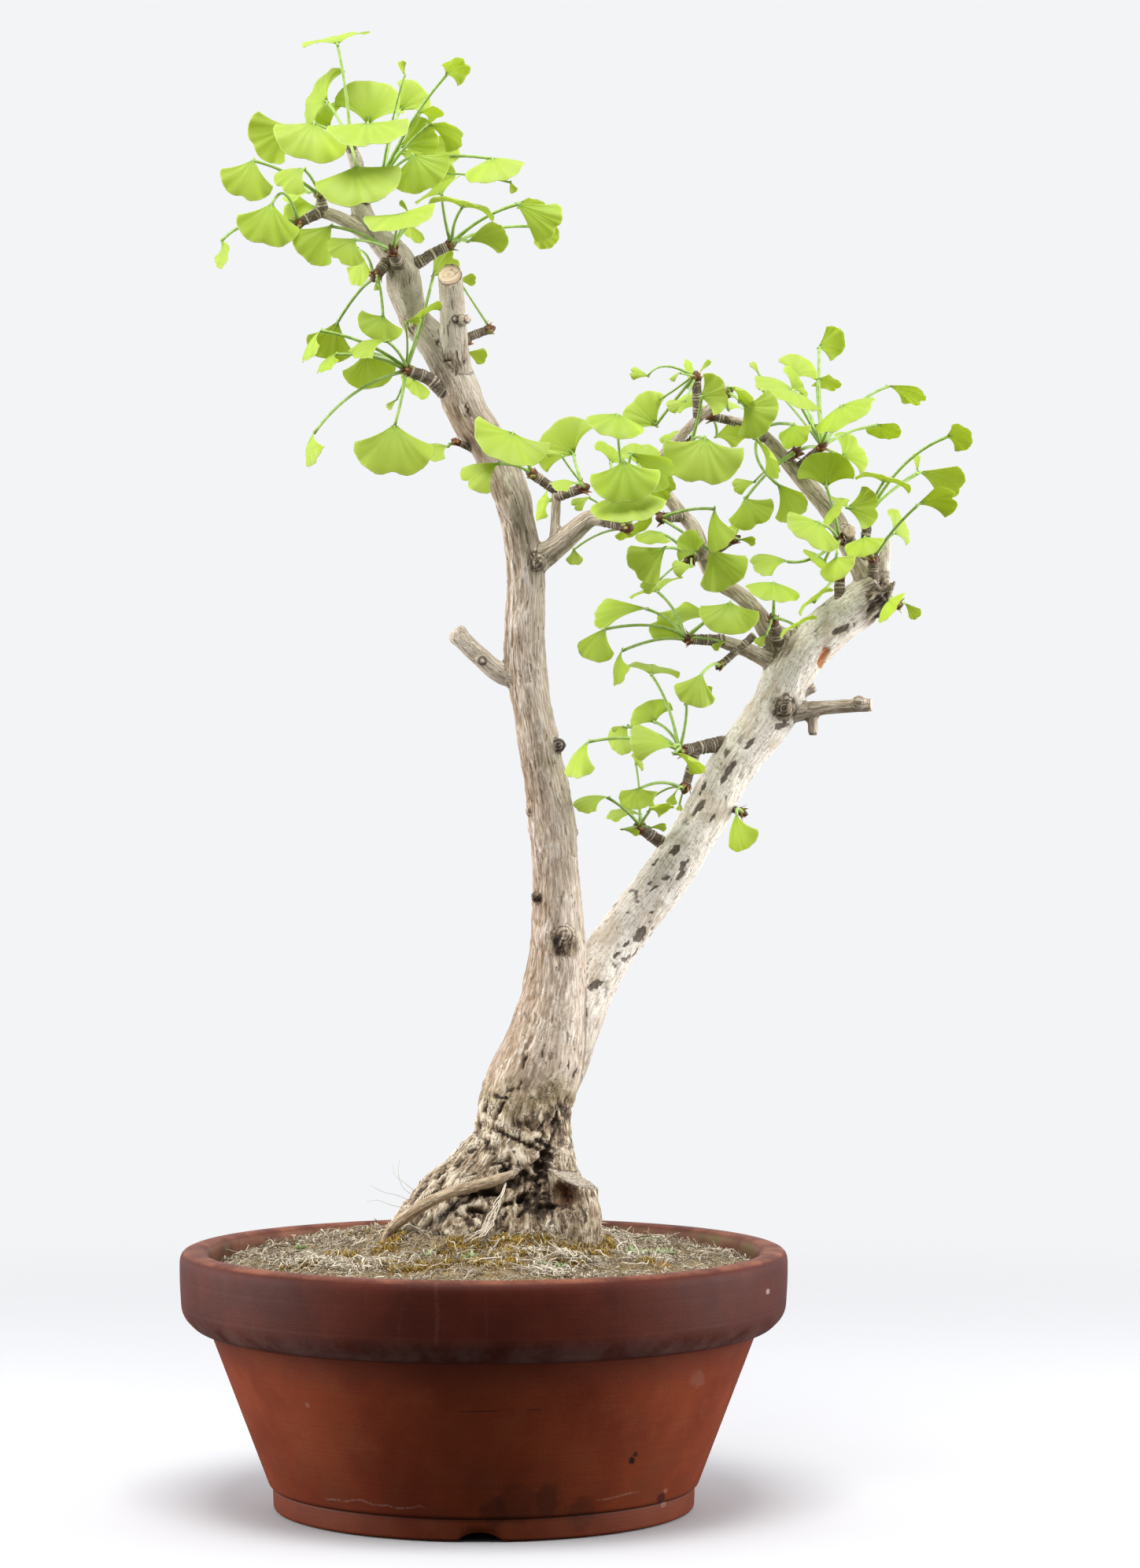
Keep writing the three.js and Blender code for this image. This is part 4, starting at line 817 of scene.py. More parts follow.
RIGHT_TRUNK = [
    [30, 0, 212, 15], [36, 2, 240, 16], [45, 6, 262, 16], [55, 12, 290, 16], [66, 17, 315, 15.5],
    [84, 20, 342, 14.5], [106, 22, 370, 14.5], [124, 24, 397, 13.8], [151, 26, 444, 14],
    [169, 27, 468, 15], [186, 27, 501, 14.5], [205, 27, 521, 14], [222, 27, 534, 13.5],
    [240, 26, 545, 12],
]
FRONT_STUB = [
    [-12, 5, 654, 5], [-15, -1, 668, 8.6], [-17, -5, 682, 8.4], [-19, -11, 712, 7.6],
    [-21, -14, 742, 7.3],
]
BRANCHES = [
    [[-15, -11, 702.5, 3], [-9.6, -22, 704.2, 2.9]],
    [[24, -3, 490, 6.5], [12, -4, 492.5, 6.1], [-2, -5, 503, 5.6], [-14, -6, 514.5, 5.3]],
    [[-58, 0, 746, 4.8], [-75, -4, 758, 4.4], [-88, -8, 765, 3.9], [-98, -10, 768, 3.6]],
    [[22, -1, 552, 8.5], [32, -3, 561, 8], [45, -8, 570, 6.5], [57, -14, 581, 6],
     [64, -19, 586, 5], [73, -25, 584, 3.8]],
    [[40, -6, 561, 3.4], [42, -8, 580, 3.1], [43, -9, 608, 2.7]],
    [[170, 26, 470, 7.5], [181, 25, 470, 6.5], [200, 22, 473, 4.6], [230, 16, 475, 4.2]],
    [[195, 23, 474, 3.4], [195, 22, 457, 3]],
    [[184, 25, 470, 3], [186, 24, 479, 2.8], [197, 22, 485, 2.5]],
    [[178, 27, 497, 6.2], [168, 25, 502, 5.5], [155, 22, 508, 4.5], [140, 18, 513, 4]],
    [[184, 28, 505, 10], [175, 27, 513, 9], [168, 26, 520, 6.8], [163, 26, 528, 5.5],
     [152, 26, 540, 5], [138, 25, 549, 4.8], [131, 23, 562, 5.2], [124, 24, 580, 4.6],
     [114, 24, 592, 4.2], [105, 22, 606, 3.8], [104, 20, 618, 3.6], [112, 18, 629, 3.4],
     [127, 16, 645, 3], [143, 16, 659, 2.6]],
    [[131, 26, 565, 5.6], [128, 4, 568, 5.3]],
    [[230, 27, 538, 8.5], [226, 28, 550, 7], [218, 34, 566, 6], [208, 36, 586, 5.8],
     [196, 36, 601, 5.5], [185, 35, 613, 5], [176, 34, 624, 4.5], [166, 32, 635, 3.6],
     [157, 30, 641, 3], [136, 26, 646, 2.6]],
    [[214, 34, 577, 4.6], [217, 22, 578, 4.4]],
    [[234, 29, 536, 6], [236, 30, 550, 4.6], [239, 32, 574, 2.6]],
    [[236, 22, 536, 5], [244, 18, 549, 1.4]],
]
SURFACE_ROOT = [
    [27, -19, 199, 1.2], [20, -27, 197.8, 2.2], [10, -31.5, 194, 3.1],
    [-4, -35, 190, 3.4], [-20, -37.5, 185.5, 3.5], [-35, -36.5, 178.5, 3.6], [-47, -33, 170.5, 3.6],
    [-55, -30, 164, 3.4], [-60, -28, 153, 2.8],
]
SAWN_ROOT = [
    [44, -14, 220, 12], [50, -20, 202, 13.8], [53, -24, 184, 14.6], [55, -27, 164, 15],
    [56, -26, 145, 13],
]
# The flare at the tree's foot, as rings [z, left x, right x, front y, back y].
FLARE = np.array([
    [130, -43, 57, -36, 37], [140, -50, 63, -42, 42], [160, -56, 69, -46, 44],
    [168, -55, 69, -45, 43], [176, -50, 66, -41, 39], [186, -43, 62, -36, 35],
    [196, -34, 59, -31, 31], [206, -20, 56, -28, 28], [228, 0, 50, -25, 25],
], float)
# Healed knots: x, depth, z, radius and how dark.
KNOTS = [
    [44.2, -9, 451, 4.4, 0.55], [47, -12, 338, 7, 0.26], [47, -13, 329, 4.6, 0.26],
    [31, -10, 560, 6, 0.26], [178, 15, 473, 7, 0.36], [222.5, 14, 476.5, 4.4, 0.2],
    [-16.8, -6.5, 514.8, 4.3, 0.08], [-14, -6, 518.2, 4.2, 0.05], [-1, -10.2, 501, 2.7, 0.3],
    [-17, -17, 704, 2.6, 0.3], [30.5, -9, 361, 3.6, 0.26], [54.5, 2, 399, 2.4, 0.2],
    [27.5, -6, 412, 3.2, 0.26],
]
# Sawn faces: a point x, depth, z, the way that the face looks, its radius, how fresh it is.
FRONT_CUT = ([-21, -14, 730.5], [-0.1, -0.72, 0.69], 8.2, 1.0)
ROOT_CUT = ([51.5, -22, 195], [0.38, -0.14, 0.91], 15, 0.0)
BREAK_CUTS = [([237, 26, 540], [0.8, -0.2, 0.55]), ([228, 26, 549], [0.1, 0.3, 0.95])]
# The hollow under the sawn root, its own brown wood darkened with painted shade: its place,
# reach and depth.
ROOT_HOLLOW = ([45.5, -38.5, 184], 10.5, 8.5)

LIMB_STEP = 2.5
VOXEL = 1.42
SMOOTHINGS = 4
# Limbs by number, in the order of `limb_runs`: two trunks, the stub at the crown, the
# branches, the surface root and the sawn root. The flare counts as limb -1.
RIGHT_LIMB = 1
CROWN_STUB = 2
LEFT_STUB = 4
DEAD_TWIGS = (16, 17)
ROOT_LIMB = 18
SAWN_LIMB = 19
# Branches that end in a sawn face: number and the face's radius.
SAWN_TWIGS = ((3, 3.6), (8, 5.2), (9, 4.0), (15, 5.4))
TWIG_FRESHNESS = 0.6
# Stations of the sawn root above this height are inside the trunk.
SAWN_ROOT_TOP = 202
FLARE_TOP = 226
FLARE_GRAIN_RADIUS = 34
LIMB_SHIFT = 700.0
BATCH = 4000


def along_line(line):
    """A limb's stations [x, depth, z, radius] as a smooth run of places and radii."""
    line = np.asarray(line, float)
    run = smooth_path(np.column_stack([lined(*line[:, :3].T), line[:, 3]]), LIMB_STEP)
    return run[:, :3], run[:, 3]


def cut_back(path, radii, cuts):
    """Drops the stations that lie beyond each cutting plane, and ends on the plane."""
    for point, facing in cuts:
        facing = unit(np.array(facing, float))
        beyond = (path - lined(*point)) @ facing
        inside = np.flatnonzero(beyond < 0)
        last = inside[-1]
        if last + 1 < len(path):
            share = beyond[last] / (beyond[last] - beyond[last + 1])
            end = path[last] + (path[last + 1] - path[last]) * share
            path = np.concatenate([path[:last + 1], end[None]])
            radii = radii[:last + 2]
    return path, radii


def cut_tube(path, radii, sides, point, facing):
    """A tube whose corners beyond the plane through `point` that looks along `facing` are slid
    back onto it along the limb."""
    points, faces = tube(path, radii, sides)
    point, facing = lined(*point), unit(np.array(facing, float))
    nearest = np.argmin(np.linalg.norm(path - point, axis=1))
    along = unit(path[nearest] - path[nearest - 1])
    beyond = np.maximum((points - point) @ facing, 0)
    return points - (beyond / (along @ facing))[:, None] * along, faces


def flare_rings(heights):
    """Half widths and middles of the flare at each height, between its rings."""
    columns = [np.interp(heights, FLARE[:, 0], FLARE[:, column]) for column in range(1, 5)]
    left, right, front, back = columns
    return (left + right) / 2, (front + back) / 2, (right - left) / 2, (back - front) / 2


def make_flare():
    """Ovals at each height of the flare, drawn in by a few per cent between five roots."""
    heights = smooth_path(FLARE[:, :3], LIMB_STEP)[:, 0]
    middle_x, middle_y, half_x, half_y = (part[:, None] for part in flare_rings(heights))
    angle = 2 * np.pi * np.arange(96)[None] / 96
    lobe = 1 - 0.05 * (1 + np.cos(5 * angle + 0.6)) * 0.5 - 0.018 * (1 + np.cos(11 * angle))
    return capped(np.stack([middle_x + half_x * lobe * np.cos(angle),
                            middle_y + half_y * lobe * np.sin(angle),
                            np.broadcast_to(heights[:, None], (len(heights), 96))], -1))


def ball(centre, radius):
    """A sphere of rings from pole to pole."""
    turn = np.linspace(0.08, np.pi - 0.08, 9)[:, None]
    angle = 2 * np.pi * np.arange(14)[None] / 14
    rings = np.stack([np.sin(turn) * np.cos(angle), np.sin(turn) * np.sin(angle),
                      np.cos(turn) * np.ones_like(angle)], -1)[::-1]
    return capped(np.asarray(centre) + radius * rings)


def limb_runs():
    """Every limb as (path, radii): the trunks first, then the rest in order."""
    others = [FRONT_STUB, *BRANCHES, SURFACE_ROOT, SAWN_ROOT[::-1]]
    return [along_line(LEFT_TRUNK), cut_back(*along_line(RIGHT_TRUNK), BREAK_CUTS),
            *(along_line(line) for line in others)]


def rough_tree(runs):
    """Every limb as a tube, two of them cut off slantwise, with the flare and the knots, as
    closed bodies that overlap."""
    rough = Shell()
    cuts = {CROWN_STUB: FRONT_CUT, SAWN_LIMB: ROOT_CUT}
    for index, (path, radii) in enumerate(runs):
        sides = 40 if index <= RIGHT_LIMB else 24
        if index in cuts:
            rough.add(*cut_tube(path, radii, sides, *cuts[index][:2]))
        else:
            rough.add(*tube(path, radii, sides))
    rough.add(*make_flare())
    for x, depth, z, radius, _ in KNOTS:
        rough.add(*ball(lined(x, depth, z), radius))
    return rough


def fused(shell):
    """The shell's overlapping bodies as one even skin: remeshed in cubes, then smoothed.
    Gives points, normals and quads."""
    mesh = bpy.data.meshes.new("rough")
    points = np.concatenate(shell.points)
    faces = [corners for face in shell.faces for corners in face.tolist()]
    mesh.from_pydata((points * MM).tolist(), [], faces)
    carrier = bpy.data.objects.new("rough", mesh)
    bpy.context.scene.collection.objects.link(carrier)
    remesh = carrier.modifiers.new("cubes", "REMESH")
    remesh.mode = "VOXEL"
    remesh.voxel_size = VOXEL * MM
    even = carrier.modifiers.new("even", "SMOOTH")
    even.factor = 0.5
    even.iterations = SMOOTHINGS
    skin = carrier.evaluated_get(bpy.context.evaluated_depsgraph_get()).to_mesh()
    count = len(skin.vertices)
    places, normals = np.empty(count * 3), np.empty(count * 3)
    skin.vertices.foreach_get("co", places)
    skin.vertices.foreach_get("normal", normals)
    corners = np.empty(len(skin.loops), np.int32)
    skin.loops.foreach_get("vertex_index", corners)
    bpy.data.objects.remove(carrier)
    return places.reshape(-1, 3) / MM, normals.reshape(-1, 3), corners.reshape(-1, 4)


def nearest_limb(points, runs):
    """For each point the limb whose skin it is nearest to, as the limb's number, and the
    point's grain: the way along that limb and the way round it at the limb's mean radius."""
    path, girth = (np.concatenate(parts) for parts in zip(*runs))
    number = np.repeat(np.arange(len(runs)), [len(run[0]) for run in runs])
    buried = (number == SAWN_LIMB) & (path[:, 2] > SAWN_ROOT_TOP)
    radii = np.where(buried, -99, girth)
    way = np.concatenate([np.arange(len(run[0])) * LIMB_STEP + LIMB_SHIFT * index
                          for index, run in enumerate(runs)])
    mean = np.concatenate([np.full(len(run[0]), run[1].mean()) for run in runs])
    tangent, side, other = (
        np.concatenate(parts) for parts in zip(*(frames(run[0]) for run in runs)))
    best = np.empty(len(points), int)
    gap = np.empty(len(points))
    for start in range(0, len(points), BATCH):
        batch = slice(start, start + BATCH)
        part = points[batch]
        square = (part ** 2).sum(1)[:, None] - 2 * part @ path.T + (path ** 2).sum(1)
        clear = np.sqrt(np.maximum(square, 0)) - radii
        best[batch], gap[batch] = clear.argmin(1), clear.min(1)
    away = points - path[best]
    along = way[best] + (away * tangent[best]).sum(1)
    across = np.stack([(away * side[best]).sum(1), (away * other[best]).sum(1)], -1)
    out = np.maximum(np.linalg.norm(across, axis=1), 1e-6)[:, None]
    across = across / out * np.minimum(out / girth[best, None], 1) * mean[best, None]
    grain = np.column_stack([along, across])

    middle_x, middle_y, half_x, half_y = flare_rings(points[:, 2])
    u, v = (points[:, 0] - middle_x) / half_x, (points[:, 1] - middle_y) / half_y
    above = np.maximum(points[:, 2] - FLARE_TOP, 0)
    on_flare = (np.hypot(u, v) - 1) * (half_x + half_y) / 2 + above < gap - 0.5
    turn = np.arctan2(v, u)
    flare_grain = np.stack([-1.3 * points[:, 2], FLARE_GRAIN_RADIUS * np.cos(turn),
                            FLARE_GRAIN_RADIUS * np.sin(turn)], -1)
    return np.where(on_flare, -1, number[best]), np.where(on_flare[:, None], flare_grain, grain)


# The overlap of old bark across the foot, its fold darkened with painted shade: middle x, z,
# half length, half width, turn.
CREASE = (20, 216.5, 27, 1.3, -24.2)
# Dents in the front of the foot, darkened with painted shade: middle x, z, half length, half width,
# turn, depth.
DENTS = [
    (36, 214, 9, 1.5, -27, 2.2), (24, 262, 7, 0.9, 70, 1.4),
    (21, 249, 4.5, 0.9, 66, 1.2), (0.7, 236, 6.5, 0.9, 88, 1.8), (9, 242.5, 6, 1.6, -12, 1.6),
    (15, 246, 4, 1.2, 25, 1.2), (10, 235.5, 7.5, 1.2, 62, 1.8), (43, 231, 7, 1.2, 80, 1.8),
    (35, 226, 6, 1.0, 55, 1.4), (40, 216, 8, 1.5, 60, 2.2), (54.5, 256, 5, 1.4, 70, 1.6),
    (-7, 210.5, 5.5, 1.2, 20, 1.8), (33, 201, 11, 4.0, 68, 3.2), (20, 193, 10, 4.4, 32, 2.8),
    (38, 206, 7, 3.0, 20, 2.4), (12, 199, 6, 2.0, 20, 1.8), (-4, 185.0, 18, 1.7, 4, 3.6),
    (-5, 174, 6.5, 3.0, -8, 4.2), (27, 184, 12, 3.8, 46, 4.2), (18, 181, 8, 2.4, 20, 3.4),
    (33, 174, 7, 2.0, 78, 3.0), (24, 175, 6, 1.6, 38, 2.2), (44, 177, 11, 1.5, -6, 2.6),
    (-14.5, 203, 4.5, 1.4, 58, 2.2), (-25.5, 197.5, 5.5, 1.6, 46, 2.4),
    (-44, 165, 5, 1.6, 84, 2.8), (-36, 188, 4, 1.2, 30, 1.6), (8, 203, 5, 1.0, 12, 1.5),
    (2, 214, 5, 0.8, 70, 1.0), (-8, 196, 5, 1.0, 15, 1.4), (12, 171, 5, 1.2, 65, 1.8),
    (-24, 172, 5, 1.0, 25, 1.2), (-28, 690, 2.6, 1.0, 70, 0.8), (-23, 679, 3.4, 0.9, 15, 0.9),
    (-11, 679, 2.4, 0.8, 75, 0.8), (-17, 671, 2.6, 0.7, 80, 0.7), (-10, 650, 5.5, 1.1, -62, 1.2),
    (34, 268, 7, 0.7, 78, 0.9), (41, 290, 6, 0.6, 82, 0.6), (50.5, 262, 6, 0.7, 85, 0.9),
]
# A dent wider than this is broken up.
WIDE_DENT = 1.9
# Dark scars on the right trunk: middle x, z, half length, half width, turn.
SCARS = [
    (146, 437, 7.5, 2.2, 52), (142, 431, 5, 1.6, 60), (127, 414, 7, 2.0, 50),
    (130, 426, 5, 1.3, 62), (113, 389, 5, 2.6, 60), (119, 380, 5, 3.2, 60),
    (117, 374, 4, 1.6, 50), (93, 339, 7, 3.6, 65), (66, 309, 5.5, 3.0, 20),
    (108, 372, 4.5, 1.0, 20), (101, 367, 4.5, 1.0, 30), (158, 452, 5, 1.5, 45),
    (102, 382, 4, 0.9, 35), (84, 333, 3, 1.4, 50), (60, 291, 4, 1.2, 70),
    (100, 352, 2.5, 0.9, 10), (176, 463, 5, 2.4, 20), (213, 520, 7, 3.0, 30),
    (79, 327, 3.5, 1.6, 30), (136, 408, 4, 1.0, 55),
]
# A healed wound on the right trunk: middle x, z, half length, half width, turn.
WOUND = (201, 503, 8.0, 2.3, 68)
# Gnarled places: x, depth, z, reach.
GNARLS = [
    [178, 27, 509, 17], [237, 24, 536, 22], [178, 15, 473, 11], [131, 14, 565, 10],
    [45, -5, 451, 7], [47, -12, 334, 12], [31, -10, 560, 9], [216, 26, 578, 8],
    [30.5, -9, 361, 6], [-46, 0, 700, 10], [38, -6, 561, 10], [-18, -12, 680, 8],
]


def seen(points):
    """Where points line up with the middle plane, as x and z."""
    share = (points[:, 1] - EYE[1]) / -EYE[1]
    return EYE[0] + (points[:, 0] - EYE[0]) / share, EYE[2] + (points[:, 2] - EYE[2]) / share


def spot(place, x, z, half_long, half_wide, turn):
    """1 in the middle of a turned oval in the front plane, falling to 0 at its edge."""
    cosine, sine = math.cos(math.radians(turn)), math.sin(math.radians(turn))
    u = ((place[0] - x) * cosine + (place[1] - z) * sine) / half_long
    v = ((place[1] - z) * cosine - (place[0] - x) * sine) / half_wide
    return 1 - np.hypot(u, v)


def furrows(grain, salt, sharp):
    """A network of lines along the grain: 1 where fractal noise crosses one half, falling off
    the faster the higher `sharp` is."""
    return np.clip(1 - sharp * np.abs(fractal(grain, salt, 3) - 0.5), 0, 1)


def gnarled(points):
    """1 round each gnarled place, falling to 0 at its reach."""
    gnarl = np.zeros(len(points))
    for x, depth, z, reach in GNARLS:
        away = np.linalg.norm(points - lined(x, depth, z), axis=1)
        gnarl = np.maximum(gnarl, 1 - ramp(away, reach * 0.6, reach))
    return gnarl


def sawn_faces(points, normals, runs):
    """Presses each sawn end onto its plane. Gives the points, how far each is on a face, its
    distance from that face's middle and how fresh the face is."""
    sawn, ring, fresh = (np.zeros(len(points)) for _ in range(3))
    ends = [(lined(*cut[0]), *cut[1:]) for cut in (FRONT_CUT, ROOT_CUT)]
    for index, reach in SAWN_TWIGS:
        path = runs[index][0]
        ends.append((path[-1], path[-1] - path[-2], reach, TWIG_FRESHNESS))
    for middle, facing, reach, new in ends:
        facing = unit(np.asarray(facing, float))
        away = points - middle
        proud = away @ facing
        out = np.linalg.norm(away - proud[:, None] * facing, axis=1)
        mark = ((1 - ramp(np.abs(proud), 0.7, 1.5)) * (1 - ramp(out, reach, reach + 1))
                * ramp(normals @ facing, 0.5, 0.8))
        points = points - (mark * proud)[:, None] * facing
        sawn = np.maximum(sawn, mark)
        ring = np.where(mark > 0, out, ring)
        fresh = np.where(mark > 0, new, fresh)
    return points, sawn, ring, fresh


def bark_relief(points, grain, swerve, limb, old, lichen):
    """Ridges and fibres along each limb's grain and broad lumps, and in old bark folds, rough
    fibres and furrows too. Gives the relief and how dark its cracks are, which is painted shade
    in the sunk furrows."""
    bent = grain + 1.4 * swerve
    ridges = fractal(bent * [0.045, 0.30, 0.30], 1, 3) - 0.5
    fibre = fractal(bent * [0.10, 0.6, 0.6], 11, 2) - 0.5
    lump = fractal(points / 15, 21, 2) - 0.5
    coarse = furrows(bent * [0.060, 0.15, 0.15], 31, 11)
    fold = fractal((grain + 2.0 * swerve) * [0.11, 0.27, 0.27], 41, 3) - 0.5
    rough_fibre = fractal((grain + 1.6 * swerve) * [0.13, 0.46, 0.46], 45, 2) - 0.5
    grit = fractal(points / 4.5, 51, 2) - 0.5
    broken = ramp(fractal(points / 17, 61, 2), 0.42, 0.60)
    size = np.where((limb <= RIGHT_LIMB) | (limb == SAWN_LIMB), 1.0, 0.4)
    size = size * (1 - 0.75 * (limb == ROOT_LIMB))
    relief = (ridges * 2.4 + fibre * 1.0 + lump * 1.4) * size * (1 - 0.3 * lichen)
    relief += old * size * (3.0 * fold + 2.6 * rough_fibre + 1.4 * grit)
    relief -= old * size * coarse * (0.4 + 1.5 * broken)
    return relief, old * ramp(coarse, 0.45, 0.95) * broken * size


def front_marks(points, place, nearly, ahead, limb):
    """The marks that are set one by one: the overlap with its raised lip, the dents, which
    are broken up where they are wide, and the knots, ringed where they are dark. Gives
    their relief and how dark they are: painted shade along the overlap's fold, in the dents
    and in the knots' ring grooves, and the knots' own dark tone."""
    fold_line = ramp(spot(nearly, *CREASE), 0.0, 0.5) * ahead
    x, z, half_long, _, turn = CREASE
    lip = ramp(spot(nearly, x + 1.7, z + 3.4, half_long, 4.2, turn), 0, 0.6) * ahead
    relief = 0.8 * lip * (1 - fold_line) - 1.6 * fold_line
    # The fold under the lip painted dark: painted shade.
    crack = 0.75 * fold_line
    broken_up = ramp(fractal(points / 2.6, 77, 2), 0.36, 0.56)
    ragged = 0.8 * (fractal(points / 3.2, 71, 2) - 0.5)
    for x, z, half_long, half_wide, turn, depth in DENTS:
        dent = ramp(spot(place, x, z, half_long, half_wide, turn) + ragged, -0.05, 0.4) * ahead
        dent = dent * (limb != ROOT_LIMB)
        if half_wide > WIDE_DENT:
            dent = dent * (1 - 0.75 * (1 - broken_up))
        relief = relief - depth * dent
        # Each dent painted dark by its depth: painted shade.
        crack = np.maximum(crack, dent * min(1, 0.55 + depth / 4))
    for x, depth, z, radius, dark in KNOTS:
        away = np.linalg.norm(points - lined(x, depth, z), axis=1)
        near = 1 - ramp(away, radius, radius * 1.5)
        shape = place if radius > 5 else nearly
        out = np.hypot(shape[0] - x, shape[1] - z)
        ringed = np.cos(out * (3.0 if radius > 3 else 3.6 / radius)) * (dark > 0.1)
        relief = relief + near * 0.3 * ringed
        # The knot's own dark tone, and darker in its ring grooves: painted shade.
        crack = np.maximum(crack, near * (dark + 0.4 * ramp(-ringed, 0.0, 1.0)))
    return relief, crack


def scarred(points, place, ahead, limb, lichen):
    """Dark scars on the right trunk: the set ones in front, and flecks all round."""
    ragged = 1.3 * (fractal(points / 2.6, 81, 3) - 0.5)
    scar = np.zeros(len(points))
    for mark in SCARS:
        scar = np.maximum(scar, ramp(spot(place, *mark) + ragged, 0, 0.3))
    flecks = ramp(fractal(points / 4.5, 83, 3), 0.62, 0.70)
    flecks = flecks * ramp(fractal(points / 30, 87), 0.45, 0.6)
    return np.maximum(scar * ahead * (limb == RIGHT_LIMB), flecks * lichen * 0.7)


def make_tree():
    """All limbs fused into one skin, then raised and sunk along its normals by the bark's own
    relief, by the marks on the foot and trunks, and by the hollow under the sawn root."""
    runs = limb_runs()
    points, normals, quads = fused(rough_tree(runs))
    limb, grain = nearest_limb(points, runs)
    ahead = ramp(-normals[:, 1], -0.1, 0.35)
    height = points[:, 2] + 16 * (noise(points / 14, 3) - 0.5)
    foot = 1 - ramp(height, 236, 264)
    skin = np.clip(foot * ramp(height, 234, 243) * ramp(ahead, 0, 0.2), 0, 1)
    gnarl = gnarled(points)
    lichen = ramp(points[:, 2], 250, 330) * (limb == RIGHT_LIMB)
    dead = np.isin(limb, DEAD_TWIGS)
    points, sawn, ring, fresh = sawn_faces(points, normals, runs)

    swerve = 5 * np.stack([fractal(points / 13, 5 + axis, 2) - 0.5 for axis in range(3)], -1)
    old = np.maximum(foot * (1 - 0.5 * skin), gnarl * 0.8) * (1 - 0.6 * (limb == SAWN_LIMB))
    relief, crack = bark_relief(points, grain, swerve, limb, old, lichen)
    wander = [2.6 * (fractal(points / 5.0, 73 + turn, 3) - 0.5) for turn in (0, 5)]
    place, nearly = ([straight + share * bend for straight, bend in zip(seen(points), wander)]
                     for share in (1.0, 0.3))
    marks, dark = front_marks(points, place, nearly, ahead, limb)
    relief, crack = relief + marks, np.maximum(crack, dark)
    point, reach, depth = ROOT_HOLLOW
    away = points - lined(*point)
    hollow = 1 - ramp(np.linalg.norm(away / [1.1, 1, 0.85], axis=1), reach * 0.45, reach)
    relief -= depth * hollow
    # The hollow's lower right is darker still: painted shade.
    crack = np.maximum(crack, hollow * ramp(away[:, 0] - away[:, 2], 1, 8) * 0.9)
    scar = scarred(points, place, ahead, limb, lichen)
    wound = ramp(spot(place, *WOUND), 0.0, 0.2) * ahead * (limb == RIGHT_LIMB)
    relief = relief * (1 - sawn) - wound * 0.9 - 0.5 * scar

    young = (limb > CROWN_STUB) & (limb < ROOT_LIMB) & ~dead
    # The darkness handed to the bark is painted shade in the cracks, dents, crease and hollow, with
    # the knots' own dark tone.
    shell = Shell()
    shell.add(points + normals * relief[:, None], [quads], grain=grain,
              relief=np.clip(0.5 + relief / 3.6, 0, 1), crack=np.clip(crack * (1 - sawn), 0, 1),
              foot=np.maximum(foot, gnarl * 0.9) * (1 - sawn),
              lichen=np.maximum(lichen, dead), scar=scar,
              smooth=np.maximum(ramp(points[:, 2], 640, 700), (limb == LEFT_STUB) * 0.9),
              sawn=sawn, ring=ring, fresh=fresh, wound=wound, hollow=hollow, skin=skin,
              root=(limb == ROOT_LIMB) * (1 - ramp(points[:, 0], 8, 20)), twig=young * 0.8)
    shell.piece("tree_bark", bark(), "bark", "tree")


# ---------------------------------------------------------------- spurs, buds and leaves

NEAR = -1
FAR = 1

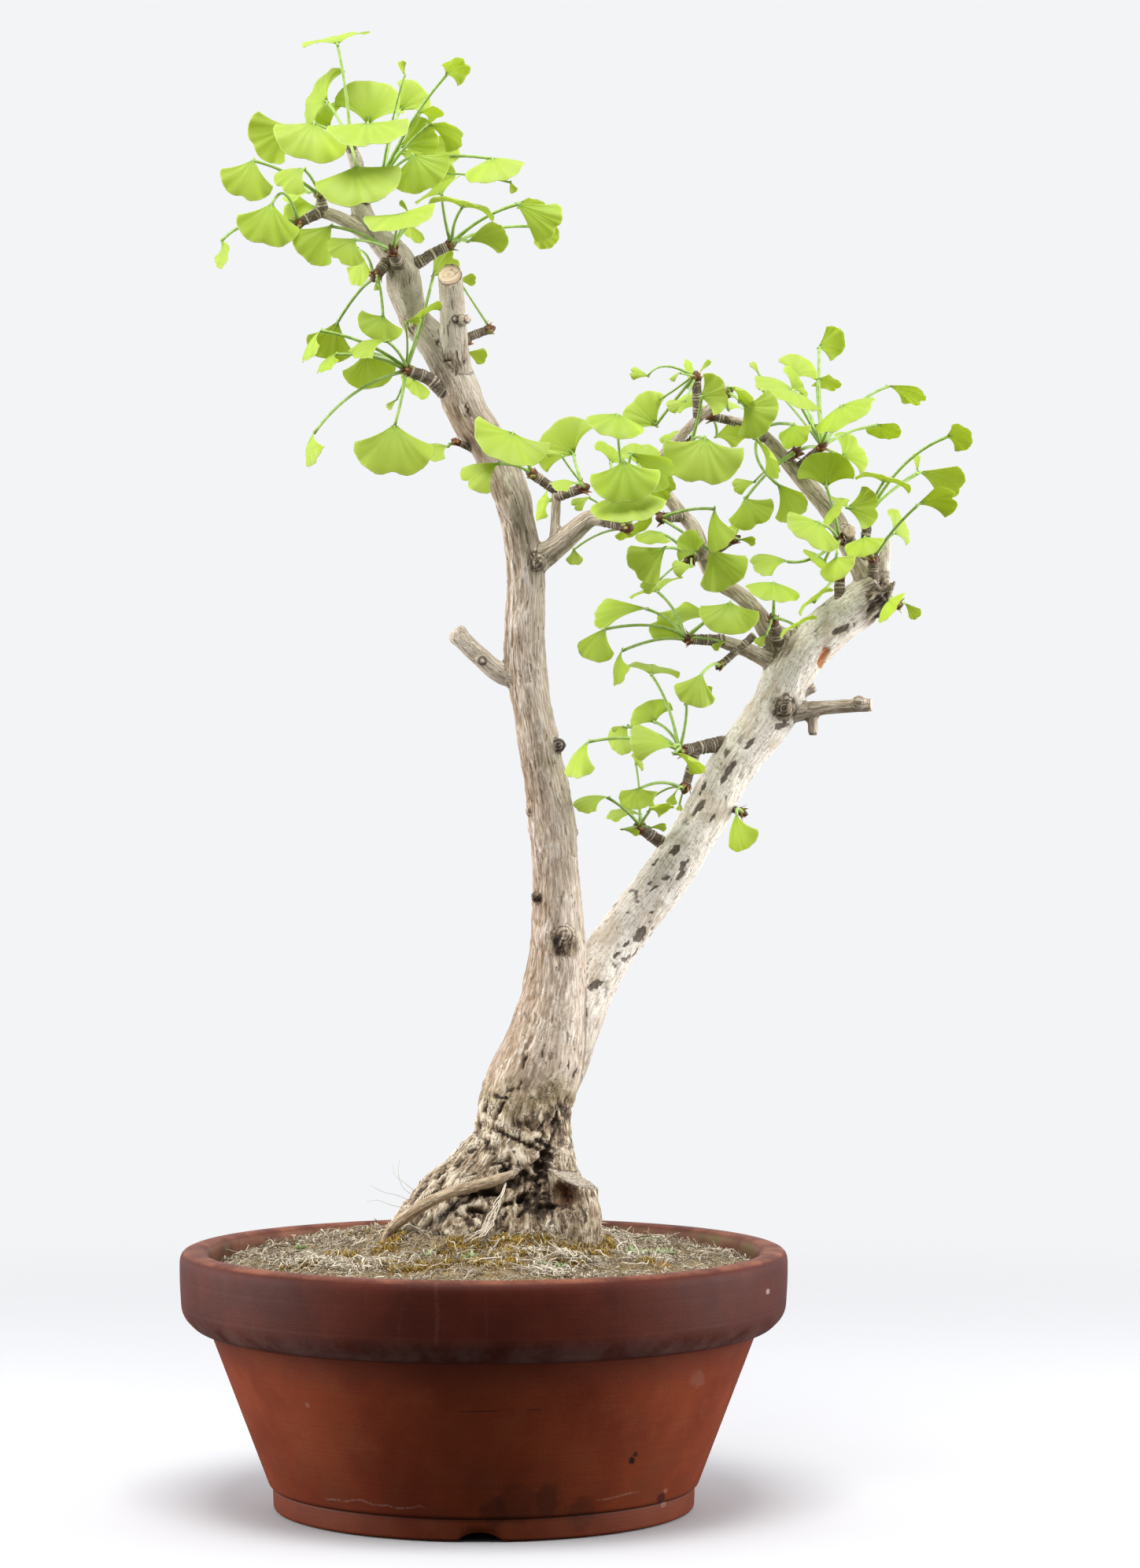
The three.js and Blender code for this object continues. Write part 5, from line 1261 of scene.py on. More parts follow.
# Each spray has a spur, as a limb's stations [x, depth, z, radius], and leaves. A leaf is
# [foot x, foot z, edge x, edge z, width as seen, side], x and z as `lined` takes them: its
# side says whether it stands nearer or farther than the spur's tip. More may follow: `via`,
# a place that the stalk bends round; `deep` and `dip`, how much farther its foot lies than
# the tip and its edge than its foot; `wide`, its true width; `cup`, how far its sides rise;
# `roll`, a share of its turn about its own length.
SPRAYS = [
    dict(name="spray_apex", spur=[[-79, -1, 806, 3.5]], behind=[-76, 0, 797], leaves=[
        [-87, 867, -88, 872, 49, FAR, dict(via=[-82, 838], deep=3)],
        [-93, 833, -104, 838, 50, FAR, dict(cup=-7)], [-92, 818, -100, 828, 36, FAR],
        [-69, 820, -66, 846, 50, FAR], [-69, 820, -68, 806, 57, NEAR, dict(cup=5)],
        [-101, 820, -107, 797, 52, NEAR, dict(cup=-3)], [-115, 818, -138, 806, 40, FAR],
        [-76, 794, -72, 771, 60, NEAR, dict(cup=3)],
    ]),
    dict(name="spray_crown", spur=[[-74, -1, 770, 3.6], [-62, -8, 784, 3]], leaves=[
        [-47, 849, -50, 858, 6, NEAR], [-50, 828, -36, 842, 30, FAR],
        [-38, 826, -24, 828, 10, NEAR, dict(wide=30, deep=-4)], [-33, 819, -12, 810, 18, NEAR],
        [-50, 806, -28, 816, 30, NEAR, dict(deep=-6)], [-50, 803, -15, 795, 40, FAR],
        [-42, 801, -33, 780, 44, NEAR], [5, 799, 8, 785, 42, NEAR, dict(via=[-30, 799])],
        [16, 785, 18, 778, 6, NEAR], [-22, 849, -9, 857, 18, NEAR],
    ]),
    dict(name="spray_left_upper", spur=[[-95, -9.5, 767, 3.4], [-97, -12, 776, 2.7]], leaves=[
        [-137, 798, -145, 775, 38, NEAR, dict(cup=3)], [-107, 793, -122, 781, 22, NEAR],
        [-104, 779, -120, 777, 12, FAR], [-100, 770, -120, 766, 20, FAR],
    ]),
    dict(name="spray_left_tip", spur=[[-96, -10, 768, 3.6], [-108, -12, 762, 3]], leaves=[
        [-126, 772, -131, 747, 44, NEAR, dict(via=[-118, 778])],
        [-156, 750, -154, 734, 10, NEAR, dict(via=[-138, 761])],
    ]),
    dict(name="spray_fork", spur=[[-50, -3, 734, 4], [-54, -15, 743, 3.2]], leaves=[
        [-91, 759, -108, 740, 34, NEAR], [-77, 751, -88, 738, 28, NEAR],
        [-50, 766, -48, 757, 50, NEAR, dict(cup=4)], [-45, 760, -43, 750, 18, FAR],
        [-45, 767, -50, 775, 4, NEAR],
    ]),
    dict(name="spray_low_left", spur=[[-53, 0, 744, 4.4], [-63, -6, 731, 3.4]], leaves=[
        [-75, 745, -76, 723, 16, FAR], [-87, 702, -95, 679, 34, FAR],
        [-60, 705, -66, 691, 32, NEAR], [-64, 725, -64, 720, 4, NEAR],
    ]),
    dict(name="spray_right_upper",
         spur=[[-47, 1, 734, 4], [-38, 0, 738, 3.8], [-30, 1, 743, 3.3], [-22, 2, 747, 3]],
         leaves=[
        [-25, 778, -28, 783, 38, FAR, dict(deep=-12)], [-13, 770, -12, 774, 47, NEAR],
        [20, 772, 44, 757, 30, NEAR], [22, 773, 36, 770, 9, FAR], [27, 759, 43, 748, 20, FAR],
        [-9, 750, 14, 755, 22, NEAR],
    ]),
    dict(name="spray_mid",
         spur=[[-17, -3, 660, 5], [-24, -5, 661, 4.4], [-32, -8, 668, 4], [-44, -12, 673, 3.6]],
         leaves=[
        [-97, 697, -107, 678, 6, NEAR], [-88, 683, -99, 671, 6, NEAR],
        [-58, 691, -80, 683, 12, NEAR], [-70, 684, -66, 662, 38, FAR],
        [-42, 668, -40, 657, 18, FAR], [-53, 641, -54, 610, 56, NEAR, dict(cup=-2)],
        [-52, 656, -58, 650, 5, FAR], [-101, 636, -103, 616, 11, NEAR, dict(via=[-77, 660])],
        [-47, 702, -37, 704, 6, NEAR, dict(deep=-27)],
        [-30, 730, -16, 742, 26, FAR, dict(via=[-38, 700, -4], deep=21)],
        [-36, 705, -32, 713, 14, NEAR, dict(deep=-10)],
    ]),
    dict(name="leaf_stub", spur=[[-24, -2, 688, 3], [1, 4, 697, 2.6]], leaves=[
        [-15, 727, -4, 727, 9, FAR],
    ]),
    dict(name="leaf_trunk_left", spur=[[-5, -1, 626, 2.4], [-14, -5, 630, 1.9]], leaves=[
        [-22, 628, -38, 623, 13, NEAR, dict(deep=0)],
    ]),
    dict(name="leaf_behind", spur=[[-24, 5, 687, 3], [-12, 17, 690, 2.6]], leaves=[
        [-10, 684, 2, 680, 12, FAR],
    ]),
    dict(name="spray_twig_left", spur=[[43, -9, 602, 3], [30, -14, 611, 3]], leaves=[
        [17, 636, 10, 619, 54, NEAR, dict(cup=6)], [8, 618, -12, 606, 24, NEAR],
    ]),
    dict(name="spray_twig_right", spur=[[42.5, -9, 598, 3], [57, -14, 603, 3]], leaves=[
        [53, 624, 38, 640, 46, FAR], [46, 623, 36, 625, 5, NEAR],
        [55, 606, 39, 605, 8, NEAR, dict(wide=24)], [39, 596, 30, 588, 14, FAR],
    ]),
    dict(name="spray_front", spur=[[70, -23, 585, 4], [83, -30, 581, 3.4]], leaves=[
        [83, 619, 85, 594, 48, NEAR, dict(deep=-34)], [85, 600, 87, 583, 52, NEAR, dict(deep=-20)],
        [87, 624, 112, 608, 26, NEAR, dict(deep=-4)], [95, 607, 113, 600, 20, FAR, dict(deep=12)],
        [75, 619, 74, 630, 20, FAR], [92, 618, 93, 631, 30, FAR, dict(deep=28)],
        [88, 581, 93, 577, 28, FAR], [62, 598, 52, 592, 10, NEAR],
        [53, 567, 54, 557, 12, FAR, dict(via=[70, 577])], [79, 647, 76, 633, 40, NEAR],
    ]),
    dict(name="spray_knob", spur=[[129, 14, 565, 3.6], [123, -2, 562, 3]], leaves=[
        [107, 568, 88, 553, 32, NEAR], [123, 557, 111, 556, 12, NEAR],
        [104, 577, 92, 571, 14, NEAR], [125, 565, 118, 578, 22, NEAR, dict(deep=-6)],
        [104, 549, 93, 543, 10, NEAR],
    ]),
    dict(name="spray_bough", spur=[[119, 24, 587, 3.6], [107, 14, 586, 3]], leaves=[
        [134, 567, 148, 545, 38, NEAR, dict(via=[114, 580])],
        [137, 591, 140, 566, 20, NEAR, dict(deep=-27)],
    ]),
    dict(name="spray_arch", spur=[[111, 18, 628, 3.2], [121, 8, 630, 2.8]], leaves=[
        [131, 633, 128, 605, 56, NEAR, dict(cup=3)],
        [129, 658, 145, 662, 30, NEAR, dict(via=[127, 645])],
        [118, 632, 108, 636, 16, FAR, dict(via=[120, 625])],
    ]),
    dict(name="spray_arch_top", spur=[[127, 16, 644, 3], [126, 12, 667, 2.8]], leaves=[
        [121, 664, 122, 680, 10, FAR], [116, 672, 110, 667, 4, NEAR], [128, 672, 135, 680, 4, FAR],
        [119, 655, 108, 651, 10, NEAR], [97, 670, 86, 673, 9, NEAR, dict(via=[108, 676])],
        [102, 641, 87, 656, 38, FAR], [104, 656, 102, 661, 4, FAR],
    ]),
    dict(name="spray_arch_end", spur=[[143, 16, 659, 2.6]], behind=[127, 16, 645], leaves=[
        [146, 663, 161, 655, 8, NEAR], [145, 650, 140, 656, 18, FAR],
        [155, 652, 172, 641, 38, NEAR],
    ]),
    dict(name="spray_back_end", spur=[[136, 26, 646, 2.6]], behind=[157, 30, 641], leaves=[
        [138, 634, 157, 638, 20, FAR], [127, 652, 118, 659, 24, FAR],
    ]),
    dict(name="spray_back_middle", spur=[[166, 32, 633, 3], [165, 22, 638, 2.6]], leaves=[
        [184, 641, 184, 626, 22, NEAR], [174, 606, 188, 586, 26, NEAR, dict(via=[162, 622])],
        [160, 633, 176, 611, 10, NEAR],
    ]),
    dict(name="spray_back_low", spur=[[178, 34, 620, 3.2], [184, 26, 624, 3]], leaves=[
        [213, 622, 224, 630, 34, FAR, dict(via=[198, 628])],
        [160, 607, 147, 604, 12, NEAR, dict(deep=-4)], [155, 597, 163, 580, 34, NEAR],
    ]),
    dict(name="spray_back_top", spur=[[185, 34, 615, 2.8], [199, 24, 627, 2.4]], leaves=[
        [183, 662, 160, 667, 14, NEAR, dict(deep=-3)],
        [183, 661, 180, 654, 48, NEAR, dict(deep=-12)], [163, 671, 158, 679, 5, FAR],
        [184, 670, 190, 682, 30, FAR, dict(deep=30)], [183, 662, 185, 673, 20, FAR, dict(deep=13)],
        [198, 668, 211, 662, 12, FAR], [199, 687, 215, 692, 24, FAR],
        [212, 652, 218, 641, 46, NEAR], [234, 641, 243, 632, 18, FAR],
        [240, 664, 261, 654, 14, FAR, dict(via=[220, 652])], [197, 641, 205, 643, 3, NEAR],
    ]),
    dict(name="spray_right_top", spur=[[224, 30, 554, 3.6], [228, 26, 587, 2.8]], leaves=[
        [237, 607, 238, 611, 40, NEAR], [216, 592, 235, 592, 30, NEAR],
        [215, 592, 202, 599, 8, FAR], [259, 613, 284, 603, 26, FAR],
        [257, 613, 256, 625, 6, FAR, dict(deep=5)],
        [275, 634, 291, 634, 19, NEAR, dict(via=[250, 618])],
    ]),
    dict(name="spray_right_end", spur=[[231, 24, 543, 3.8], [231, 20, 560, 3.2]], leaves=[
        [243, 577, 249, 587, 24, FAR, dict(deep=4)], [258, 594, 281, 598, 22, NEAR],
        [226, 574, 224, 562, 26, NEAR],
    ]),
    dict(name="spray_bend", spur=[[213, 32, 573, 3.4], [211, 20, 573, 3]], leaves=[
        [198, 583, 190, 571, 42, NEAR], [207, 592, 207, 583, 18, NEAR, dict(deep=-9)],
        [203, 605, 203, 626, 40, NEAR, dict(deep=-5)], [209, 562, 210, 548, 24, NEAR],
        [202, 560, 192, 562, 14, NEAR, dict(deep=-3)],
        [180, 560, 158, 558, 16, NEAR, dict(via=[195, 562])],
    ]),
    dict(name="spray_ridge", spur=[[211, 23, 531, 3.8], [211, 20, 549, 3.2]], leaves=[
        [196, 536, 197, 541, 20, NEAR],
    ]),
    dict(name="spray_collar", spur=[[175, 21, 511, 4], [172, 14, 524, 3]], leaves=[
        [172, 547, 170, 536, 38, NEAR], [186, 521, 187, 525, 22, NEAR],
        [167, 516, 161, 510, 8, NEAR],
    ]),
    dict(name="spray_low_end", spur=[[142, 18, 513, 4], [123, 12, 514, 3]], leaves=[
        [103, 542, 101, 547, 40, FAR], [96, 532, 65, 526, 20, FAR],
        [72, 520, 62, 501, 26, NEAR, dict(via=[100, 522])], [82, 507, 79, 486, 10, NEAR],
        [120, 514, 100, 526, 26, FAR], [135, 527, 110, 528, 16, FAR],
        [146, 535, 144, 516, 42, NEAR], [142, 512, 135, 508, 6, NEAR, dict(deep=-12)],
    ]),
    dict(name="spray_low_spur", spur=[[160, 22, 516, 2.6], [142, 14, 500, 2.2]], leaves=[
        [129, 493, 122, 474, 30, NEAR],
    ]),
    dict(name="spray_twig_middle", spur=[[133, 22, 563, 2.6], [147, 18, 572, 2.1]], leaves=[
        [148, 572, 145, 582, 12, FAR], [152, 573, 162, 572, 7, NEAR],
    ]),
    dict(name="spray_break", spur=[[232, 23, 533, 3.2], [243, 17, 534, 2.4]], leaves=[
        [241, 537, 240, 526, 16, NEAR], [250, 535, 258, 526, 10, FAR],
    ]),
    dict(name="spray_spur_upper", spur=[[142, 25, 452, 5], [119, 12, 448, 3.4]], leaves=[
        [99, 493, 100, 499, 40, FAR], [101, 465, 95, 477, 32, FAR],
        [120, 476, 134, 488, 14, NEAR, dict(deep=-5)], [112, 450, 86, 456, 24, NEAR],
        [85, 462, 78, 446, 20, FAR], [82, 462, 75, 460, 4, NEAR],
        [62, 453, 52, 431, 18, NEAR, dict(via=[90, 455], deep=-36)], [113, 446, 132, 436, 8, NEAR],
    ]),
    dict(name="spray_spur_hanging", spur=[[126, 16, 449, 3.2], [120, 14, 428, 2.8]], leaves=[
        [92, 425, 88, 412, 25, NEAR], [113, 422, 110, 415, 8, NEAR], [116, 416, 116, 411, 5, FAR],
        [100, 420, 97, 414, 8, FAR],
    ]),
    dict(name="spray_spur_lower", spur=[[107, 22, 392, 4], [94, 15, 401, 3.6]], leaves=[
        [73, 420, 53, 414, 12, NEAR], [92, 410, 72, 409, 9, FAR], [98, 412, 113, 416, 7, NEAR],
        [90, 440, 93, 444, 13, FAR], [82, 401, 93, 399, 5, NEAR], [99, 402, 109, 403, 6, NEAR],
    ]),
    dict(name="leaf_trunk_right", spur=[[144, 24, 415, 2.8], [151, 21, 412, 2.2]], leaves=[
        [150, 410, 154, 388, 22, NEAR],
    ]),
]

ADULT_WIDTH = 14.0
TRUE_WIDTH = 30.0
STALK_RADIUS = 0.85
STALK_SLACK = 1.08
STALK_ADULT = 34.0
STALK_YOUNG = 20.0
STALK_RISE = 0.07
STALK_ROOT_OUT = 0.9
LENGTH_BY_WIDTH = 0.5
BUD_LENGTH = 6.5
BLADE_THICK = 0.26
BLADE_START = 0.03
BLADE_END = 0.985
BLADE_ARCH = 0.08
BUD_SCALES = 9
SPUR_STEP = 0.5
SPUR_RING = 1.9


def leaf_place(end, leaf):
    """Where a leaf stands. The stalk is a little longer than the way it is seen to go, which
    puts the blade's foot nearer or farther than the spur's tip; in the same way the blade is
    at least LENGTH_BY_WIDTH as long as it is wide. A blade seen narrower than it is turns
    about its own length."""
    foot_x, foot_z, edge_x, edge_z, seen_width, side = leaf[:6]
    more = leaf[6] if len(leaf) > 6 else {}
    end_x, end_depth, end_z = end[:3]
    seen_length = math.hypot(edge_x - foot_x, edge_z - foot_z)
    adult = seen_width >= ADULT_WIDTH or seen_length > ADULT_WIDTH
    run = math.hypot(foot_x - end_x, foot_z - end_z)
    stalk = max(STALK_SLACK * run, STALK_ADULT if adult else STALK_YOUNG)
    deep = more.get("deep", side * math.sqrt(stalk * stalk - run * run))
    width = more.get("wide", max(seen_width, TRUE_WIDTH if adult else seen_width * 1.1))
    true_length = max(1.02 * seen_length, LENGTH_BY_WIDTH * width)
    dip = more.get("dip", side * math.sqrt(true_length ** 2 - seen_length ** 2))
    foot = lined(foot_x, end_depth + deep, foot_z)
    axis = lined(edge_x, end_depth + deep + dip, edge_z) - foot
    length = np.linalg.norm(axis)
    axis = axis / length
    turn = math.acos(min(1, seen_width / width)) * more.get("roll", 1)
    flat = unit(np.cross(axis, foot - EYE))
    across = flat * math.cos(turn) + np.cross(axis, flat) * math.sin(turn)
    up = np.cross(across, axis)
    if up[2] < 0:
        up, across = -up, -across
    halfway = [(end_x + foot_x) / 2, (end_z + foot_z) / 2 + STALK_RISE * stalk]
    via = list(more.get("via", halfway))
    via_deep = via[2] if len(via) > 2 else deep * 0.55
    return dict(foot=foot, axis=axis, across=across, up=up, length=length, width=width,
                via=lined(via[0], end_depth + via_deep, via[1]), adult=adult,
                cup=more.get("cup", (-0.10 if side == NEAR else 0.06) * length))


def blade_grid(place, number, s, t):
    """The fan. At s from -1 to 1 across it and t from 0 at the foot to 1 at the edge a point
    lies s times the half angle round the foot, the half angle opening with t, at t times the
    length. The edge has a cleft, lobes and small teeth; the blade arches, its sides rise by
    `cup`, it waves, and pleats run out from the foot. Also gives how high the pleat is."""
    length, width = place["length"], place["width"]
    half = math.asin(min(0.98, width / (2.02 * length))) * 1.05
    angle = s * half * (0.70 + 0.30 * t)
    cleft = 0.12 * draw(number, 1) ** 2 * np.exp(-s * s * 60)
    lobes = 0.012 * np.cos(3 * np.pi * s) + 0.17 * np.abs(s) ** 5
    teeth = (0.4 * np.sin(7 * np.pi * s + 6.28 * draw(number, 11))
             + 0.3 * np.sin(15 * np.pi * s + 6.28 * draw(number, 12))
             + 0.3 * np.sin(27 * np.pi * s + 6.28 * draw(number, 13)))
    notch = 0.010 * (1.0 + teeth) * t ** 6
    reach = length * t * (1.03 - 0.05 * s * s - t * (cleft + lobes) - notch)
    arch = BLADE_ARCH * length * 4 * t * (1 - t)
    wave = 0.035 * width * np.sin(np.pi * (2.2 * s + 2 * draw(number, 2)))
    folds = 4.5 + 2.5 * draw(number, 14)
    pleat = np.cos(np.pi * folds * (s + 0.16 * np.sin(5 * s + 9 * draw(number, 15))))
    curl = 0.010 * width * np.sin(np.pi * 5.3 * s + 6.28 * draw(number, 16)) * t ** 5
    lift = (arch + t * t * (place["cup"] * s * s + wave * np.abs(s)) + curl
            + 0.0045 * width * pleat * t * (1.2 - 0.4 * t))
    points = (place["foot"] + place["axis"] * (reach * np.cos(angle) - 1)[..., None]
              + place["across"] * (reach * np.sin(angle))[..., None]
              + place["up"] * lift[..., None])
    return points, 0.5 + 0.5 * pleat * ramp(t, 0.05, 0.6)


def add_blade(shell, place, number):
    """A blade as a pillow: the fan lifted by half its thickness and lowered by as much, the
    thickness running out to nothing all round. The value `blade` holds s and t."""
    columns, rows = (47, 8) if place["width"] > 22 else (25, 6)
    inner = np.linspace(-BLADE_END, BLADE_END, columns)
    s = np.concatenate([[-1], inner, [1]])[None] * np.ones((rows + 1, 1))
    rise = BLADE_START + (BLADE_END - BLADE_START) * np.linspace(0, 1, rows) ** 0.85
    t = np.append(rise, 1)[:, None] * np.ones((1, columns + 2))
    middle, pleat = blade_grid(place, number, s, t)
    thick = BLADE_THICK / 2 * (1 - np.abs(s) ** 90) * (1 - t ** 90)
    lift = place["up"] * thick[..., None]
    points, faces = pillow(middle + lift, middle - lift)
    blade = pillow_values(np.stack([s, t, np.zeros_like(s)], -1))
    young = 0.0 if place["adult"] else 0.75
    shell.add(points, faces, blade=blade, pleat=pillow_values(pleat),
              spread=0.9 * place["width"], tint=min(1.0, 0.75 * draw(number, 21) + young))


def add_stalk(shell, place, root):
    """A round stalk on a quadratic curve from inside the bud, through `via`, to the blade's
    foot, thicker at its root, and a flattened wedge that runs on into the blade."""
    foot = place["foot"]
    bend = 2 * place["via"] - 0.5 * (root + foot)
    t = np.linspace(0, 1, 15 if place["adult"] else 9)[:, None]
    path = (1 - t) ** 2 * root + 2 * t * (1 - t) * bend + t ** 2 * foot
    thin = 1.0 if place["adult"] else 0.72
    radii = STALK_RADIUS * thin * (1.0 + 0.45 * (1 - t[:, 0]) ** 3 + 0.12 * t[:, 0] ** 4)
    points, faces = tube(path, radii, 8)
    along = np.concatenate([np.repeat(t[:, 0], 8), [0, 1]])
    shell.add(points, faces, along=along)
    length = place["length"]
    size = np.clip(length / 22, 0.45, 1.0)
    way = np.array([-1.4, -0.6, 0.6, 2.0, 3.8, 6.0])[:, None, None] * size
    wide = np.array([0.45, 0.85, 0.95, 0.62, 0.32, 0.10])[:, None, None] * thin
    high = np.array([0.45, 0.7, 0.5, 0.3, 0.2, 0.08])[:, None, None] * thin
    share = np.clip(way / length, 0, 1)
    arch = BLADE_ARCH * length * 4 * share * (1 - share)
    angle = (2 * np.pi * np.arange(8) / 8)[None, :, None]
    rings = (foot + place["axis"] * (way - 0.6) + place["across"] * wide * np.cos(angle)
             + place["up"] * (high * np.sin(angle) + arch))
    points, faces = capped(rings[:, ::-1])
    shell.add(points, faces, along=1.0)


def tip_of(entry):
    """The spur's tip, the way it points there, and its radius."""
    spur = entry["spur"]
    tip = lined(*spur[-1][:3])
    before = lined(*(entry["behind"] if "behind" in entry else spur[-2][:3]))
    return tip, unit(tip - before), spur[-1][3]


def add_bud(shell, tip, along, radius, number):
    """A bud: a tapering core and scales round it, each a small cupped pillow, pointed at
    its end, that stands on the core's foot and leans out."""
    core = tip + along * np.array([-2.0, 0.3, 2.6, 4.8, 6.3])[:, None]
    points, faces = tube(core, radius * np.array([0.9, 1.0, 1.05, 0.75, 0.3]), 12)
    shell.add(points, faces, blade=(0, 0.25, 0), young=0.0)
    _, side, other = (part[0] for part in frames(np.stack([tip, tip + along])))
    s = np.linspace(-1, 1, 5)[None] * np.ones((6, 1))
    t = np.linspace(0, 1, 6)[:, None] * np.ones((1, 5))
    for scale in range(BUD_SCALES):
        seed = number * 17 + scale
        turn = 2 * np.pi * (scale / BUD_SCALES + 0.1 * draw(seed, 31))
        out = side * math.cos(turn) + other * math.sin(turn)
        sideways = np.cross(along, out)
        long = 3.2 + 2.6 * draw(seed, 32)
        lean = 0.15 + 0.55 * draw(seed, 33)
        lower = -1.5 + 3.0 * draw(seed, 34)
        half = 1.35 * (1 - t ** 2.2) ** 0.8 + 0.05
        forward = lower + long * t * math.cos(lean)
        outward = radius * (0.95 + 0.1 * t) + long * math.sin(lean) * t ** 1.6 - 0.35 * s * s
        middle = (tip + along * forward[..., None] + out * outward[..., None]
                  + sideways * (s * half)[..., None])
        thick = out * (0.16 * (1 - s ** 4) * (1 - t ** 6) * np.minimum(1, 8 * t))[..., None]
        points, faces = pillow(middle + thick, middle - thick)
        shell.add(points, faces, blade=pillow_values(np.stack([s, t, 0 * s], -1)),
                  young=0.7 * (draw(seed, 35) > 0.72))


def make_spurs():
    """Spurs as tubes whose radius rises in close, uneven rings and varies by noise."""
    shell = Shell()
    for number, entry in enumerate(SPRAYS):
        spur = entry["spur"]
        if len(spur) == 1:
            tip, along, radius = tip_of(entry)
            line = np.array([[*(tip - along * 14), radius], [*tip, radius]])
        else:
            spur = np.asarray(spur, float)
            line = np.column_stack([lined(*spur[:, :3].T), spur[:, 3]])
        run = smooth_path(line, SPUR_STEP)
        way = np.arange(len(run)) * SPUR_STEP
        beat = way / SPUR_RING + 0.45 * np.sin(way * 0.5 + number)
        ring = 0.5 + 0.5 * np.cos(2 * np.pi * beat)
        ring = ring * (0.6 + 0.4 * np.sin(way * 0.8 + 2 * number))
        angle = 2 * np.pi * np.arange(18)[None] / 18
        wild = noise(np.stack(np.broadcast_arrays(
            way[:, None] * 0.7, 1.6 * np.cos(angle) + 5 * number, 1.6 * np.sin(angle)), -1), 91)
        radii = run[:, 3:] * (0.94 + 0.13 * ring[:, None] + 0.2 * (wild - 0.5))
        points, faces = tube(run[:, :3], radii, 18)
        # The colour value follows the radius, lighter where raised and darker where sunk: painted
        # highlight and painted shade over the rings' own banding.
        values = np.concatenate([(ring[:, None] * 0.8 + 0.4 * (wild - 0.4)).ravel(), [0, 0]])
        shell.add(points, faces, ring=np.clip(values, 0, 1))
    shell.piece("spurs", spur_bark(), "bark")


def make_foliage():
    """Each spray's blades, stalks and bud, the blades and stalks in pieces of their own."""
    blade_finish, stalk_finish, scale_finish = leaf(), stalk(), bud_scale()
    stalks, buds = Shell(), Shell()
    number = 0
    for index, entry in enumerate(SPRAYS):
        blades = Shell()
        tip, along, radius = tip_of(entry)
        add_bud(buds, tip, along, radius, index)
        for item in entry["leaves"]:
            number += 1
            place = leaf_place(entry["spur"][-1], item)
            outward = place["via"] - tip
            outward = unit(outward - along * (outward @ along))
            up_bud = BUD_LENGTH * (0.3 + 0.35 * draw(number, 3))
            root = tip + along * up_bud + outward * STALK_ROOT_OUT
            add_blade(blades, place, number)
            add_stalk(stalks, place, root)
        blades.piece(entry["name"] + "_blades", blade_finish, "leaf", entry["name"])
    stalks.piece("leaf_stalks", stalk_finish, "leaf")
    buds.piece("bud_scales", scale_finish, "bark")


# --------------------------------------------------------------------- soil and what lies on it

SOIL_EDGE = 144.0
SOIL_HEAP = 162.0
COLLAR_HEIGHT = 8.0
# Moss cushions: middle x, y and half widths.
MOSS = [
    (-17, -56, 20, 10), (5, -92, 22, 18), (-32, -100, 26, 14), (30, -54, 36, 12), (64, -44, 14, 14),
    (-60, -86, 16, 10), (-105, -74, 15, 10), (20, -74, 24, 10), (70, -24, 10, 12), (50, -84, 14, 8),
    (20, 70, 24, 14), (-70, 50, 18, 12), (-56, -36, 12, 14), (-84, -50, 12, 10), (100, -70, 14, 8),
]
# Clumps of bleached strands: middle x, y and reach.
BLEACHED = [(-72, -84, 22), (46, -76, 20), (96, -40, 16), (40, -104, 12), (80, 60, 24),
            (-60, 90, 24), (-96, -70, 14)]
# Strands stay within this distance of the pot's centre line.
STRAND_REACH = 158
MOSS_DRAWS = 60000
MOSS_FIBRES = 8200


def moss_at(x, y):
    """1 in the middle of a moss cushion, 0 outside, with a ragged border."""
    ragged = 0.5 * (fractal(np.stack([x / 7, y / 7, 0 * x], -1), 101) - 0.5)
    thickest = np.zeros(np.shape(x))
    for middle_x, middle_y, half_x, half_y in MOSS:
        inside = 1 - np.hypot((x - middle_x) / half_x, (y - middle_y) / half_y)
        thickest = np.maximum(thickest, ramp(inside + ragged, 0.0, 0.35))
    return thickest


def flare_oval(x, y):
    """1 on the oval where the tree's flare meets the soil, less inside it and more outside."""
    return np.hypot((x - 7) / 57, (y + 1) / 42)


def soil_height(x, y):
    """The heap: from the edge it rises towards the tree as the distance from the wall to the
    power 0.8, with bumps at three scales, a low mound under each moss cushion, a collar round
    the tree's flare and a shallow ditch along the wall."""
    r, angle = np.hypot(x, y), np.arctan2(y, x)
    heap = SOIL_EDGE + (SOIL_HEAP - SOIL_EDGE) * np.clip(1 - r / RIM_INNER_RADIUS, 0, 1) ** 0.8
    bumps = 1.1 * (np.sin(3 * angle + r * 0.06) + np.sin(7 * angle - r * 0.11)) * (r > 40)
    flat = np.stack([x, y, 0 * x], -1)
    crumbs = 3.4 * (fractal(flat / 16, 111) - 0.5) + 1.8 * (fractal(flat / 4, 121) - 0.5)
    gap = (flare_oval(x, y) - 1) * 48 + 14 * (fractal(flat / 12, 125) - 0.5)
    collar = COLLAR_HEIGHT * (1 - ramp(gap, 2, 24)) - 3.0 * ramp(r, 148, 161)
    return np.minimum(heap + bumps, SOIL_HEAP) - 1.2 + crumbs + 2.6 * moss_at(x, y) + collar


